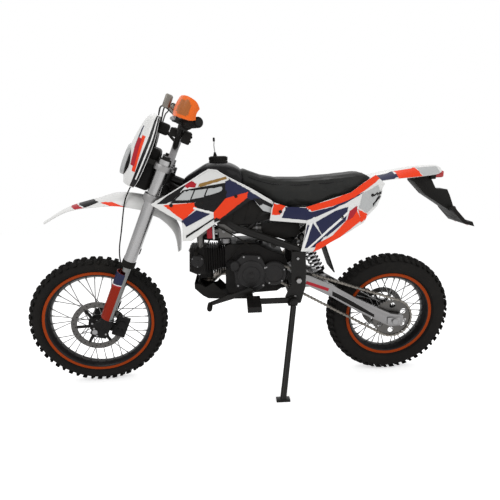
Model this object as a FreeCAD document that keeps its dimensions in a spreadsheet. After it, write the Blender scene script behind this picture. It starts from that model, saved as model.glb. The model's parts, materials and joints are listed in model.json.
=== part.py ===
import FreeCAD, Part
import Sketcher
import math
import os

# Enduro motorcycle of the pit-bike type, standing on its side stand.
# Millimetres. Each group of pieces is drawn upright in a frame of its own:
# chassis  x rearwards from the front axle, y to the bike's right, z up from the ground
# fork     origin on the steering axis beside the front axle, z up along that axis, x rearwards
# wheels   origin in the axle's middle, y along the axle
# stand    origin on its pivot, axes of the chassis

V = FreeCAD.Vector
os.makedirs("parts", exist_ok=True)
doc = FreeCAD.newDocument("EnduroMotorcycle")
sheet = doc.addObject("Spreadsheet::Sheet", "Sizes")

SIZES = (
    # name, millimetres or degrees
    ("pivot_x", 842.0),
    ("pivot_up", 470.0),
    ("swing_run", 410.6),
    ("front_axle_up", 286.0),
    ("rear_axle_up", 268.0),
    ("lean_deg", 10.7),
    ("steer_deg", 6.4),
    ("rake_deg", 24.1),
    ("axle_ahead", 57.0),
    ("leg_ahead", 24.0),
    ("leg_side", 92.0),
    ("running_clear", 0.05),
    ("seat_clear", 0.3),
    ("front_tyre_r", 286.0),
    ("front_tyre_drop", 15.5),
    ("front_tyre_crown", 45.0),
    ("front_tyre_edge", 34.0),
    ("front_tyre_half", 38.0),
    ("front_bead_r", 217.0),
    ("front_flange_r", 229.0),
    ("front_well_r", 208.0),
    ("front_rim_r", 200.0),
    ("front_rim_half", 28.0),
    ("rear_tyre_r", 268.0),
    ("rear_tyre_drop", 17.2),
    ("rear_tyre_crown", 60.0),
    ("rear_tyre_edge", 42.0),
    ("rear_tyre_half", 46.0),
    ("rear_bead_r", 177.0),
    ("rear_flange_r", 190.0),
    ("rear_well_r", 168.0),
    ("rear_rim_r", 160.0),
    ("rear_rim_half", 33.0),
    ("flange_wall", 3.0),
    ("bead_in", 4.0),
    ("well_half", 9.0),
    ("well_slope", 6.0),
    ("side_wall_rise", 5.0),
    ("side_wall_in", 5.0),
    ("belly_low", 26.0),
    ("belly_high", 37.0),
    ("lug_height", 10.0),
    ("lug_length", 18.0),
    ("axle_r", 7.5),
    ("hub_bore_r", 7.55),
    ("hub_r", 20.0),
    ("hub_flange_r", 42.0),
    ("hub_flange_out", 39.0),
    ("hub_flange_in", 33.0),
    ("disc_boss_r", 30.0),
    ("disc_inner_y", 52.0),
    ("disc_thick", 3.5),
    ("disc_r", 107.0),
    ("disc_window_r", 19.5),
    ("disc_window_at", 61.0),
    ("rear_disc_r", 95.0),
    ("spoke_r", 1.8),
    ("sprocket_r", 86.0),
    ("sprocket_out", 62.0),
    ("sprocket_thick", 5.0),
    ("chain_side", 64.5),
    ("chain_half_width", 8.0),
    ("chain_half_height", 6.0),
    ("fork_tube_r", 24.0),
    ("fork_tube_low", 317.0),
    ("fork_tube_top", 748.0),
    ("slider_r", 17.0),
    ("steering_low", 611.0),
    ("steering_high", 707.0),
    ("stem_r", 12.5),
    ("head_tube_r", 27.0),
    ("bar_r", 11.0),
    ("bar_up", 806.0),
    ("clamp_top", 729.0),
    ("lamp_up", 690.0),
    ("lamp_r", 61.0),
    ("bar_bend", 45.0),
    ("grip_r", 16.0),
    ("frame_tube_r", 15.0),
    ("subframe_tube_r", 10.0),
    ("frame_bend", 60.0),
    ("panel_thick", 3.0),
    ("fender_thick", 3.5),
    ("peg_r", 13.0),
    ("stand_tube_r", 12.0),
    ("stand_pivot_r", 8.0),
    ("shock_r", 27.0),
    ("exhaust_r", 16.0),
    ("silencer_r", 44.0),
)

sheet.set("A1", "name")
sheet.set("B1", "value")
for row, (name, value) in enumerate(SIZES, start=2):
    sheet.set("A%d" % row, name)
    sheet.set("B%d" % row, str(value))
    sheet.setAlias("B%d" % row, name)
doc.recompute()

SIGNS = {"+": 1.0, "-": -1.0}


def amount(text):
    """Millimetres of a sum of named sizes such as 'hub_r - axle_r'."""
    total = 0.0
    sign = 1.0
    for word in text.split():
        if word in SIGNS:
            sign = SIGNS[word]
        else:
            total += sign * float(getattr(sheet, word))
            sign = 1.0
    return total


def formula(text):
    """The same sum as an expression on the sheet."""
    return " ".join(word if word in SIGNS else "Sizes." + word for word in text.split())


def place(base, axis=V(0, 0, 1), degrees=0.0):
    return FreeCAD.Placement(base, FreeCAD.Rotation(axis, degrees))


def rod(name, radius, base, tip):
    """Round bar between two points, its radius bound to the sheet."""
    bar = doc.addObject("Part::Cylinder", name)
    bar.setExpression("Radius", formula(radius))
    bar.Height = (tip - base).Length
    bar.Placement = FreeCAD.Placement(base, FreeCAD.Rotation(V(0, 0, 1), tip - base))
    return bar


def block(name, x, y, z):
    """Box between two values along each axis."""
    box = doc.addObject("Part::Box", name)
    box.Length = x[1] - x[0]
    box.Width = y[1] - y[0]
    box.Height = z[1] - z[0]
    box.Placement = place(V(x[0], y[0], z[0]))
    return box


def solid(name, shape):
    """A form of arcs and lines that no primitive gives."""
    feature = doc.addObject("Part::Feature", name)
    feature.Shape = shape
    return feature


def fuse(name, pieces):
    union = doc.addObject("Part::MultiFuse", name)
    union.Shapes = pieces
    return union


def cut(name, base, tool):
    result = doc.addObject("Part::Cut", name)
    result.Base = base
    result.Tool = tool
    return result


def outline(body, name, role, corners):
    """Closed sketch on one of the body's own planes.

    corners: across, up and, where an arc leads to the next corner, its radius and
    the side of its centre seen along the path (1 left, -1 right).
    """
    sketch = body.newObject("Sketcher::SketchObject", name)
    plane = [item for item in body.Origin.OriginFeatures if item.Role == role][0]
    sketch.AttachmentSupport = [(plane, "")]
    sketch.MapMode = "FlatFace"
    spots = [V(amount(corner[0]), amount(corner[1]), 0) for corner in corners]
    ends = []
    for index, corner in enumerate(corners):
        start = spots[index]
        finish = spots[(index + 1) % len(spots)]
        if len(corner) == 2:
            sketch.addGeometry(Part.LineSegment(start, finish), False)
            ends.append((1, 2))
            continue
        radius = amount(corner[2])
        chord = finish - start
        height = math.sqrt(radius ** 2 - chord.Length ** 2 / 4)
        normal = V(-chord.y, chord.x, 0).normalize()
        centre = (start + finish) * 0.5 + normal * height * corner[3]
        first, last = (start, finish) if corner[3] > 0 else (finish, start)
        angles = [math.atan2(spot.y - centre.y, spot.x - centre.x) for spot in (first, last)]
        circle = Part.Circle(centre, V(0, 0, 1), radius)
        sketch.addGeometry(Part.ArcOfCircle(circle, angles[0], angles[1]), False)
        ends.append((1, 2) if corner[3] > 0 else (2, 1))
    for index, corner in enumerate(corners):
        after = (index + 1) % len(corners)
        sketch.addConstraint(Sketcher.Constraint("Coincident", index, ends[index][1], after, ends[after][0]))
    for index, corner in enumerate(corners):
        for kind, text in (("DistanceX", corner[0]), ("DistanceY", corner[1])):
            number = sketch.addConstraint(
                Sketcher.Constraint(kind, -1, 1, index, ends[index][0], amount(text)))
            sketch.setExpression("Constraints[%d]" % number, formula(text))
        if len(corner) > 2:
            number = sketch.addConstraint(Sketcher.Constraint("Radius", index, amount(corner[2])))
            sketch.setExpression("Constraints[%d]" % number, formula(corner[2]))
    return sketch


def revolved(name, corners):
    """Body of revolution about y from a section of radius and place along the axle."""
    body = doc.addObject("PartDesign::Body", name)
    sketch = outline(body, name + "_section", "XY_Plane", corners)
    turn = body.newObject("PartDesign::Revolution", name + "_turn")
    turn.Profile = sketch
    turn.ReferenceAxis = (sketch, ["V_Axis"])
    turn.Angle = 360.0
    sketch.Visibility = False
    body.Tip = turn
    return body


def face(points, y):
    """Side-view outline at one distance from the middle plane."""
    ring = [V(x, y, z) for x, z in points]
    return Part.Face(Part.makePolygon(ring + ring[:1]))


def slab(points, y_low, y_high):
    return face(points, y_low).extrude(V(0, y_high - y_low, 0))


def rounded_path(points, bend):
    """Straight runs joined by tangent arcs of one radius."""
    edges = []
    start = points[0]
    for before, corner, after in zip(points, points[1:], points[2:]):
        back = V(before - corner).normalize()
        ahead = V(after - corner).normalize()
        half = back.getAngle(ahead) / 2
        trim = bend / math.tan(half)
        enter = corner + back * trim
        leave = corner + ahead * trim
        middle = corner + V(back + ahead).normalize() * (bend / math.sin(half) - bend)
        edges.append(Part.makeLine(start, enter))
        edges.append(Part.Arc(enter, middle, leave).toShape())
        start = leave
    edges.append(Part.makeLine(start, points[-1]))
    return Part.Wire(edges)


def tube(points, radius, bend):
    path = rounded_path(points, bend)
    ring = Part.Wire([Part.makeCircle(radius, points[0], points[1] - points[0])])
    return path.makePipeShell([ring], True, False)


def mirrored(shape):
    """The same piece on the bike's other side."""
    return shape.mirror(V(0, 0, 0), V(0, 1, 0))


def united(shapes):
    whole = shapes[0].fuse(shapes[1:])
    return whole.removeSplitter()


def arch(x, up, slope_deg, half, depth, thick):
    """Mudguard cross section across a path that runs in the x-z plane."""
    slope = math.radians(slope_deg)
    down = V(math.sin(slope), 0, -math.cos(slope))
    crown = V(x, 0, up)

    def spot(side, drop):
        return crown + V(0, side, 0) + down * drop

    outer = Part.Arc(spot(-half, depth), crown, spot(half, depth)).toShape()
    inner = Part.Arc(spot(half - thick, depth), spot(0, thick), spot(thick - half, depth)).toShape()
    right = Part.makeLine(spot(half, depth), spot(half - thick, depth))
    left = Part.makeLine(spot(thick - half, depth), spot(-half, depth))
    return Part.Wire([outer, right, inner, left])


NODES = []


def node(label, pieces, frame):
    """One named piece of the bike, stored in the frame of its group."""
    holder = doc.addObject("Part::Compound", label)
    holder.Label = label
    holder.Links = pieces
    NODES.append((label, holder, frame))
    return holder


# Wheels
WHEELS = (
    # name, disc side (-1 is the bike's left)
    ("front", -1),
    ("rear", 1),
)
LUG_ROWS = 27
LUG_LAYOUT = {
    # wheel: half width of the centre lug, shoulder lug from, to
    "front": (14.0, 19.0, 39.0),
    "rear": (18.0, 24.0, 47.0),
}


def lug_ring(end):
    """Blocks of a knobbly tyre: one on the crown, then one on each shoulder, in turn."""
    half, near, far = LUG_LAYOUT[end]
    tip_r = amount(end + "_tyre_r")
    crown = amount(end + "_tyre_crown + lug_height")
    root = amount("%s_tyre_r - %s_tyre_drop - lug_height" % (end, end)) - 6
    edge = amount(end + "_tyre_edge")
    length = amount("lug_length")

    def tip(y):
        return tip_r - crown + math.sqrt(crown ** 2 - y ** 2)

    middle = ((-half - 2, tip(half) - 14), (-half, tip(half)), (-5, tip(5)), (5, tip(5)), (half, tip(half)),
              (half + 2, tip(half) - 14))
    shoulder = ((near - 1, tip(near) - 16), (near, tip(near)), (far, tip(far)), (far + 4, tip(far) - 10),
                (edge + 2, root - 4), (edge - 8, root - 4))
    blocks = []
    for index in range(2 * LUG_ROWS):
        if index % 2 == 0:
            sections = [middle]
        else:
            sections = [shoulder, tuple((-y, r) for y, r in shoulder)]
        for section in sections:
            ring = [V(-length / 2, y, -r) for y, r in section]
            block_solid = Part.Face(Part.makePolygon(ring + ring[:1])).extrude(V(length, 0, 0))
            block_solid.rotate(V(0, 0, 0), V(0, 1, 0), 180.0 * index / LUG_ROWS)
            blocks.append(block_solid)
    return blocks


SPOKE_COUNT = 18
wheel_parts = {}
for end, disc_side in WHEELS:
    tyre_r = end + "_tyre_r"
    tyre_half = end + "_tyre_half"
    edge = end + "_tyre_edge"
    shoulder = "%s - %s_tyre_drop - lug_height" % (tyre_r, end)
    bead = end + "_bead_r"
    flange = end + "_flange_r"
    rim_half = end + "_rim_half"
    well = end + "_well_r"
    inner = end + "_rim_r"
    seat_half = rim_half + " - bead_in"
    lip_half = rim_half + " - flange_wall"
    ramp = "well_half + well_slope"
    carcass = revolved(end + "_tyre_ring", (
        (bead, "- " + rim_half + " + bead_in"),
        (flange, "- " + rim_half + " + flange_wall"),
        (flange, "- " + rim_half),
        (flange + " + side_wall_rise", "- " + tyre_half + " + side_wall_in"),
        (bead + " + belly_low", "- " + tyre_half),
        (bead + " + belly_high", "- " + tyre_half),
        (shoulder, "- " + edge, end + "_tyre_crown", 1),
        (shoulder, edge),
        (bead + " + belly_high", tyre_half),
        (bead + " + belly_low", tyre_half),
        (flange + " + side_wall_rise", tyre_half + " - side_wall_in"),
        (flange, rim_half),
        (flange, lip_half),
        (bead, seat_half),
        (well, "well_half"),
        (well, "- well_half"),
    ))
    lugs = solid(end + "_tyre_lugs", Part.makeCompound(lug_ring(end)))
    tyre = fuse(end + "_tyre_body", [carcass, lugs])
    rim = revolved(end + "_rim_ring", (
        (inner, "- well_half"),
        (bead + " - side_wall_rise", "- " + rim_half),
        (flange, "- " + rim_half),
        (flange, "- " + rim_half + " + flange_wall"),
        (bead, "- " + rim_half + " + bead_in"),
        (well, "- well_half"),
        (well, "well_half"),
        (bead, seat_half),
        (flange, lip_half),
        (flange, rim_half),
        (bead + " - side_wall_rise", rim_half),
        (inner, "well_half"),
    ))
    hub = revolved(end + "_hub_body", (
        ("hub_bore_r", "- disc_inner_y"),
        ("disc_boss_r", "- disc_inner_y"),
        ("disc_boss_r", "- hub_flange_out"),
        ("hub_flange_r", "- hub_flange_out"),
        ("hub_flange_r", "- hub_flange_in"),
        ("hub_r", "- hub_flange_in"),
        ("hub_r", "hub_flange_in"),
        ("hub_flange_r", "hub_flange_in"),
        ("hub_flange_r", "hub_flange_out"),
        ("disc_boss_r", "hub_flange_out"),
        ("disc_boss_r", "disc_inner_y"),
        ("hub_bore_r", "disc_inner_y"),
    ))
    spokes = []
    flange_mid = (amount("hub_flange_in") + amount("hub_flange_out")) / 2
    hub_out = amount("hub_flange_r")
    rim_in = amount(inner)
    for index in range(2 * SPOKE_COUNT):
        side = 1 if index % 2 else -1
        lean_way = 1 if index % 4 < 2 else -1
        rim_at = math.radians(360.0 * index / (2 * SPOKE_COUNT))
        hub_at = rim_at + lean_way * math.radians(38.0)
        hub_y = side * (flange_mid + lean_way)
        from_hub = V((hub_out - 2) * math.cos(hub_at), hub_y, (hub_out - 2) * math.sin(hub_at))
        to_rim = V((rim_in + 3) * math.cos(rim_at), side * 3, (rim_in + 3) * math.sin(rim_at))
        spokes.append(rod("%s_spoke_%d" % (end, index), "spoke_r", from_hub, to_rim))
    lace = doc.addObject("Part::Compound", end + "_spoke_set")
    lace.Links = spokes
    tools = doc.addObject("Part::Compound", end + "_spoke_ends")
    tools.Links = [hub, rim]
    trimmed = cut(end + "_spoke_trim", lace, tools)
    disc_r = "disc_r" if end == "front" else "rear_disc_r"
    near = disc_side * amount("disc_inner_y")
    far = disc_side * (amount("disc_inner_y") + amount("disc_thick"))
    plate = rod(end + "_disc_plate", disc_r, V(0, near, 0), V(0, far, 0))
    holes = [rod(end + "_disc_bore", "hub_r", V(0, near - disc_side, 0), V(0, far + disc_side, 0))]
    for index in range(6):
        turn = math.radians(60.0 * index)
        at = V(math.cos(turn), 0, math.sin(turn)) * amount("disc_window_at")
        holes.append(rod("%s_disc_window_%d" % (end, index), "disc_window_r",
                         at + V(0, near - disc_side, 0), at + V(0, far + disc_side, 0)))
    disc = cut(end + "_disc_cut", plate, fuse(end + "_disc_holes", holes))
    frame = end + "_wheel"
    node(end + "_tyre", [tyre], frame)
    node(end + "_rim", [rim], frame)
    node(end + "_hub", [hub], frame)
    node(end + "_spokes", [trimmed], frame)
    node(end + "_brake_disc", [disc], frame)

# Rear sprocket on the hub's left face
sprocket_in = amount("sprocket_out")
sprocket_far = sprocket_in + amount("sprocket_thick")
TEETH = 41
tooth_tip = amount("sprocket_r")
tooth_ring = []
for index in range(TEETH):
    for share, radius in ((0.0, tooth_tip - 8), (0.3, tooth_tip - 5), (0.5, tooth_tip), (0.7, tooth_tip - 5)):
        turn = 2 * math.pi * (index + share) / TEETH
        tooth_ring.append(V(radius * math.cos(turn), -sprocket_in, radius * math.sin(turn)))
toothed = Part.Face(Part.makePolygon(tooth_ring + tooth_ring[:1])).extrude(V(0, sprocket_in - sprocket_far, 0))
sprocket = fuse("sprocket_blank", [
    solid("sprocket_plate", toothed),
    rod("sprocket_carrier", "disc_boss_r", V(0, -amount("disc_inner_y"), 0), V(0, -sprocket_far, 0)),
])
sprocket_holes = [rod("sprocket_bore", "hub_r", V(0, 1 - amount("disc_inner_y"), 0), V(0, -sprocket_far - 1, 0))]
for index in range(6):
    turn = math.radians(60.0 * index + 30)
    at = V(math.cos(turn), 0, math.sin(turn)) * 56
    sprocket_holes.append(rod("sprocket_window_%d" % index, "peg_r",
                              at + V(0, 1 - sprocket_in, 0), at + V(0, -sprocket_far - 1, 0)))
node("rear_sprocket", [cut("sprocket_cut", sprocket, fuse("sprocket_openings", sprocket_holes))], "rear_wheel")

# Fork: legs, clamps and what they carry
LEG_X = -amount("leg_ahead")
AXLE_X = -amount("axle_ahead")
LEG_Y = amount("leg_side")
AXLE_REACH = LEG_Y + 16
front_axle = solid("front_axle_bar", united([
    Part.makeCylinder(amount("axle_r"), 2 * AXLE_REACH, V(AXLE_X, -AXLE_REACH, 0), V(0, 1, 0)),
    Part.makeCylinder(13, LEG_Y - 18 - 54 + 1, V(AXLE_X, 54 + 2.2, 0), V(0, 1, 0)),
    Part.makeCylinder(13, LEG_Y - 18 - 54 + 1, V(AXLE_X, -54 - 2.2 - (LEG_Y - 18 - 54 + 1), 0), V(0, 1, 0)),
]))
node("front_axle", [front_axle], "fork")
leg_pieces = []
guard_pieces = []
for side, name in ((-1, "left"), (1, "right")):
    y = side * LEG_Y
    upper = rod("fork_upper_" + name, "fork_tube_r",
                V(LEG_X, y, amount("fork_tube_low")), V(LEG_X, y, amount("fork_tube_top")))
    lower = rod("fork_slider_" + name, "slider_r", V(LEG_X, y, 10), V(LEG_X, y, amount("fork_tube_low")))
    lug = solid("fork_lug_raw_" + name, united([
        slab(((AXLE_X - 16, -14), (AXLE_X + 4, -24), (LEG_X + 16, -18), (LEG_X + 22, 60),
              (LEG_X - 22, 60), (AXLE_X - 16, 20)), y - 15, y + 15),
        Part.makeCylinder(21, 36, V(LEG_X, y, 30), V(0, 0, 1)),
    ]))
    leg = fuse("fork_leg_raw_" + name, [upper, lower, lug])
    leg_pieces.append(cut("fork_leg_cut_" + name, leg, front_axle))
    guard_outer = Part.makeCylinder(33, 208, V(LEG_X, y, 70), V(0, 0, 1))
    guard_inner = Part.makeCylinder(30, 208, V(LEG_X, y, 70), V(0, 0, 1))
    guard_open = Part.makeBox(80, 80, 260, V(LEG_X + 8, y - 40, 60))
    guard_foot = Part.makeBox(14, 12, 24, V(LEG_X - 31, y - 6, 70))
    guard = guard_outer.cut(guard_inner).cut(guard_open).fuse(guard_foot)
    tool = Part.makeCylinder(21, 36, V(LEG_X, y, 30), V(0, 0, 1))
    tool = tool.fuse(Part.makeCylinder(amount("slider_r"), 400, V(LEG_X, y, 10), V(0, 0, 1)))
    guard_pieces.append(solid("fork_guard_raw_" + name, guard.cut(tool)))
node("fork_legs", leg_pieces, "fork")
node("fork_guards", guard_pieces, "fork")

CLAMPS = (
    # name, bottom, top along the steering axis
    ("lower", amount("steering_low") - 28.0, amount("steering_low")),
    ("upper", amount("steering_high"), amount("clamp_top")),
)
CLAMP_HUB_R = 26.0
CLAMP_RING_R = 33.0
clamp_solids = []
for name, low, high in CLAMPS:
    plan = [V(10, 22), V(LEG_X + 14, 62), V(LEG_X + 18, LEG_Y), V(LEG_X - 18, LEG_Y), V(LEG_X - 22, 62),
            V(-24, 22)]
    ring = plan + [V(spot.x, -spot.y) for spot in reversed(plan)]
    ring = [V(spot.x, spot.y, low) for spot in ring]
    clamp_solids.append(Part.Face(Part.makePolygon(ring + ring[:1])).extrude(V(0, 0, high - low)))
    clamp_solids.append(Part.makeCylinder(CLAMP_HUB_R, high - low, V(0, 0, low), V(0, 0, 1)))
    for side in (-1, 1):
        clamp_solids.append(Part.makeCylinder(CLAMP_RING_R, high - low, V(LEG_X, side * LEG_Y, low), V(0, 0, 1)))
stem = Part.makeCylinder(amount("stem_r"), 170, V(0, 0, 585), V(0, 0, 1))
BAR_X = -8.0
BAR_UP = amount("bar_up")
risers = []
for y in (-38.0, 38.0):
    risers.append(Part.makeBox(26, 22, BAR_UP + 20 - amount("clamp_top"), V(BAR_X - 13, y - 11, amount("clamp_top"))))
fender_boss = Part.makeCylinder(15, 5.5, V(-36, 0, 577.5), V(0, 0, 1))
clamps = united(clamp_solids + [stem, fender_boss] + risers)
for side in (-1, 1):
    clamps = clamps.cut(Part.makeCylinder(amount("fork_tube_r"), 220, V(LEG_X, side * LEG_Y, 560), V(0, 0, 1)))
BAR_PATH = (V(BAR_X, 0, BAR_UP), V(BAR_X, 82, BAR_UP), V(BAR_X - 4, 190, BAR_UP + 86), V(36, 372, BAR_UP + 109))
bar_half = tube(BAR_PATH, amount("bar_r"), amount("bar_bend"))
handlebar = united([bar_half, mirrored(bar_half)])
clamps = clamps.cut(handlebar)

FENDER_STATIONS = (
    # x, up, slope, half width, depth of the skirt
    (-381.0, 337.0, 53.0, 16.0, 5.0),
    (-313.0, 427.0, 47.0, 38.0, 9.0),
    (-225.0, 499.0, 38.0, 55.0, 24.0),
    (-150.0, 555.0, 25.0, 62.0, 45.0),
    (-60.0, 581.0, 2.0, 63.0, 52.0),
    (-12.0, 581.0, -4.0, 62.0, 54.0),
    (55.0, 557.0, -33.0, 58.0, 40.0),
    (120.0, 500.0, -50.0, 50.0, 22.0),
    (155.0, 417.0, -75.0, 38.0, 9.0),
)
fender_wires = [arch(*station, amount("fender_thick")) for station in FENDER_STATIONS]
front_fender = Part.makeLoft(fender_wires, True, True)
clamps = max(clamps.cut(front_fender).Solids, key=lambda item: item.Volume)
node("triple_clamps", [solid("triple_clamp_solid", clamps)], "fork")
node("front_fender", [solid("front_fender_shell", front_fender)], "fork")
node("handlebar", [solid("handlebar_tube", handlebar)], "fork")

# Grips, levers and hand guards
bar_out = V(BAR_PATH[3] - BAR_PATH[2]).normalize()
bar_end = BAR_PATH[3]
grip_sets = []
lever_sets = []
shield_pieces = []
for side, name in ((1, "right"), (-1, "left")):
    inner_spot = bar_end - bar_out * 128
    grip = Part.makeCylinder(amount("grip_r"), 122, inner_spot, bar_out)
    grip = grip.fuse(Part.makeCylinder(21, 6, inner_spot, bar_out))
    perch_spot = bar_end - bar_out * 160
    perch = Part.makeCylinder(17, 24, perch_spot, bar_out)
    perch = perch.fuse(Part.makeBox(40, 20, 18, perch_spot + V(-42, 4, -9)))
    lever = Part.makeBox(12, 112, 9, perch_spot + V(-42, 16, -5))
    perch = united([perch, lever])
    # x, y of the shield's outer face and of its inner face, from the bar's end to the inner mount
    shield_out = [(40, 388), (12, 400), (-34, 388), (-54, 342), (-60, 215), (-44, 186), (-8, 174)]
    shield_in = [(40, 380), (14, 395), (-32, 383), (-50, 340), (-55, 216), (-41, 190), (-8, 180)]
    ring = [V(x, y, BAR_UP + 66) for x, y in shield_out + shield_in[::-1]]
    shield = Part.Face(Part.makePolygon(ring + ring[:1])).extrude(V(0, 0, 96))
    shield = shield.cut(Part.makeBox(200, 60, 44, V(-100, 140, BAR_UP + 120)))
    shield = shield.cut(Part.makeCylinder(9, 60, V(-30, 216, BAR_UP + 92), V(-9, -54, 7)))
    shape_set = [grip.cut(handlebar), perch.cut(handlebar), shield.cut(handlebar)]
    if side < 0:
        shape_set = [mirrored(item) for item in shape_set]
    grip_sets.append(shape_set[0])
    lever_sets.append(shape_set[1])
    shield_pieces.append(solid("hand_guard_" + name, shape_set[2]))
node("hand_guards", shield_pieces, "fork")
node("grips", [solid("grip_pair", Part.makeCompound(grip_sets))], "fork")
node("levers", [solid("lever_pair", Part.makeCompound(lever_sets))], "fork")

# Number-plate mask and headlamp
LAMP_UP = amount("lamp_up")
MASK_STATIONS = (
    # height from the lamp's middle, front x, back x, half width
    (-105.0, -146.0, -104.0, 58.0),
    (-50.0, -160.0, -92.0, 92.0),
    (40.0, -168.0, -84.0, 100.0),
    (110.0, -160.0, -84.0, 86.0),
    (170.0, -146.0, -92.0, 64.0),
    (198.0, -128.0, -98.0, 40.0),
)


def mask_wire(rise, front, back, half, inset):
    up = LAMP_UP + rise
    front_x = front + inset
    edge = half - inset
    arc = Part.Arc(V(back, -edge, up), V(front_x, 0, up), V(back, edge, up)).toShape()
    return Part.Wire([arc, Part.makeLine(V(back, edge, up), V(back, -edge, up))])


mask_thick = amount("panel_thick")
mask_outer = Part.makeLoft([mask_wire(*row, 0.0) for row in MASK_STATIONS], True, True)
mask_inner = Part.makeLoft([mask_wire(row[0], row[1], row[2] + 1, row[3], mask_thick)
                            for row in MASK_STATIONS], True, True)
lamp_r = amount("lamp_r")
mask = mask_outer.cut(mask_inner)
mask = mask.cut(Part.makeCylinder(lamp_r + 1, 100, V(-200, 0, LAMP_UP), V(1, 0, 0)))
LENS_BALL_R = 150.0
lens = Part.makeSphere(LENS_BALL_R, V(LENS_BALL_R - 172, 0, LAMP_UP))
lens = lens.common(Part.makeCylinder(lamp_r - 4, 60, V(-180, 0, LAMP_UP), V(1, 0, 0)))
lamp = united([
    lens,
    Part.makeCylinder(lamp_r, 30, V(-156, 0, LAMP_UP), V(1, 0, 0)),
    Part.makeCylinder(lamp_r - 7, 50, V(-126, 0, LAMP_UP), V(1, 0, 0)),
    Part.makeBox(66, 100, 60, V(-126, -50, LAMP_UP - 50)),
    Part.makeBox(44, 190, 16, V(-98, -95, LAMP_UP + 26)),
])
lamp = lamp.cut(mask).cut(clamps)
lamp = max(lamp.Solids, key=lambda item: item.Volume)
for side in (-1, 1):
    lamp = lamp.cut(Part.makeCylinder(amount("fork_tube_r"), 420, V(LEG_X, side * LEG_Y, 320), V(0, 0, 1)))
node("headlamp_mask", [solid("headlamp_mask_shell", mask)], "fork")
node("headlamp", [solid("headlamp_body", lamp)], "fork")
DISC_EDGE = AXLE_X + amount("disc_r")
SLOT_CLEAR = 2.0
caliper = united([
    Part.makeBox(52, 16, 86, V(DISC_EDGE - 42, -78, -8)),
    Part.makeBox(44, 26, 60, V(DISC_EDGE - 34, -62, 4)),
    Part.makeBox(DISC_EDGE - 30, 12, 30, V(-8, -84, 10)),
])
caliper = caliper.cut(Part.makeCylinder(amount("disc_r") + SLOT_CLEAR, 4.5, V(AXLE_X, -56, 0), V(0, 1, 0)))
leg_tool = united([
    slab(((AXLE_X - 16, -14), (AXLE_X + 4, -24), (LEG_X + 16, -18), (LEG_X + 22, 60),
          (LEG_X - 22, 60), (AXLE_X - 16, 20)), -LEG_Y - 15, -LEG_Y + 15),
    Part.makeCylinder(21, 36, V(LEG_X, -LEG_Y, 30), V(0, 0, 1)),
])
caliper = caliper.cut(leg_tool)
node("front_caliper", [solid("front_caliper_body", caliper)], "fork")

# Brake hose and control cables, held by the fork all the way
HOSE_R = 2.5
CORDS = (
    # name, route
    ("brake_hose", ((-108, -30, 640), (-117, -42, 592), (-118, -60, 545), (-105, -77, 492), (-90, -87, 432),
                    (-79, -89, 375), (-67, -85, 334), (-48, -78, 294), (-46, -77, 240), (-45, -78, 186),
                    (-43, -76, 136), (-30, -69, 106), (-8, -66, 94), (14, -67, 92), (27, -70, 78))),
    ("clutch_cable", ((-31, -222, 897), (-37, -180, 902), (-66, -136, 918), (-97, -92, 925), (-108, -54, 917),
                      (-106, -26, 892), (-99, -12, 856), (-90, -3, 816), (-84, 4, 776), (-80, 9, 730))),
    ("throttle_cable", ((-31, 222, 897), (-37, 180, 903), (-70, 138, 924), (-103, 94, 934), (-115, 53, 925),
                        (-110, 22, 896), (-102, 4, 858), (-93, -8, 818), (-87, -16, 780), (-84, -21, 730))),
)


def cord(points, radius):
    """Round cord along straight runs, each corner an arc as large as its runs allow."""
    spots = [V(*point) for point in points]
    edges = []
    start = spots[0]
    smallest = 1000.0
    for before, corner, after in zip(spots, spots[1:], spots[2:]):
        back = V(before - corner)
        ahead = V(after - corner)
        trim = 0.45 * min(back.Length, ahead.Length)
        back.normalize()
        ahead.normalize()
        half = back.getAngle(ahead) / 2
        bend_r = trim * math.tan(half)
        smallest = min(smallest, bend_r)
        middle = corner + V(back + ahead).normalize() * (bend_r / math.sin(half) - bend_r)
        enter = corner + back * trim
        leave = corner + ahead * trim
        edges.append(Part.makeLine(start, enter))
        edges.append(Part.Arc(enter, middle, leave).toShape())
        start = leave
    edges.append(Part.makeLine(start, spots[-1]))
    path = Part.Wire(edges)
    ring = Part.Wire([Part.makeCircle(radius, spots[0], spots[1] - spots[0])])
    shape = path.makePipeShell([ring], True, False)
    print("cord of %.0f mm, smallest bend %.0f mm, fill %.4f"
          % (path.Length, smallest, shape.Volume / (math.pi * radius ** 2 * path.Length)))
    return shape


cord_solids = []
for name, route in CORDS:
    shape = cord(route, HOSE_R).cut(lamp).cut(caliper).cut(Part.makeCompound(lever_sets))
    cord_solids.append(solid(name + "_cord", max(shape.Solids, key=lambda item: item.Volume)))
node("control_cables", cord_solids, "fork")

# Frame
HEAD_BASE = V(amount("axle_ahead") * math.cos(math.radians(amount("rake_deg"))), 0,
              amount("front_axle_up") - amount("axle_ahead") * math.sin(math.radians(amount("rake_deg"))))
REAR_AXLE = V(amount("pivot_x + swing_run"), 0, amount("rear_axle_up"))
HEAD_WAY = V(math.sin(math.radians(amount("rake_deg"))), 0, math.cos(math.radians(amount("rake_deg"))))
head_low = HEAD_BASE + HEAD_WAY * (amount("steering_low") + 2)
head_len = amount("steering_high") - amount("steering_low") - 4
PIVOT = V(amount("pivot_x"), 0, amount("pivot_up"))
frame_r = amount("frame_tube_r")
bend = amount("frame_bend")
spar = tube((V(336, 18, 858), V(440, 66, 800), V(600, 92, 686), V(850, 92, 590)), frame_r, bend)
down = tube((V(325, 0, 872), V(430, 0, 640), V(548, 0, 628)), 14.0, bend)
back_bone = tube((V(350, 0, 876), V(600, 0, 770), V(700, 0, 700)), 18.0, bend)
PLATE_IN = 99.0
PLATE_OUT = 111.0
pivot_plate = slab(((814, 588), (868, 588), (872, 520), (870, 440), (852, 372), (800, 360),
                    (788, 396), (812, 450)), PLATE_IN, PLATE_OUT)
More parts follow.
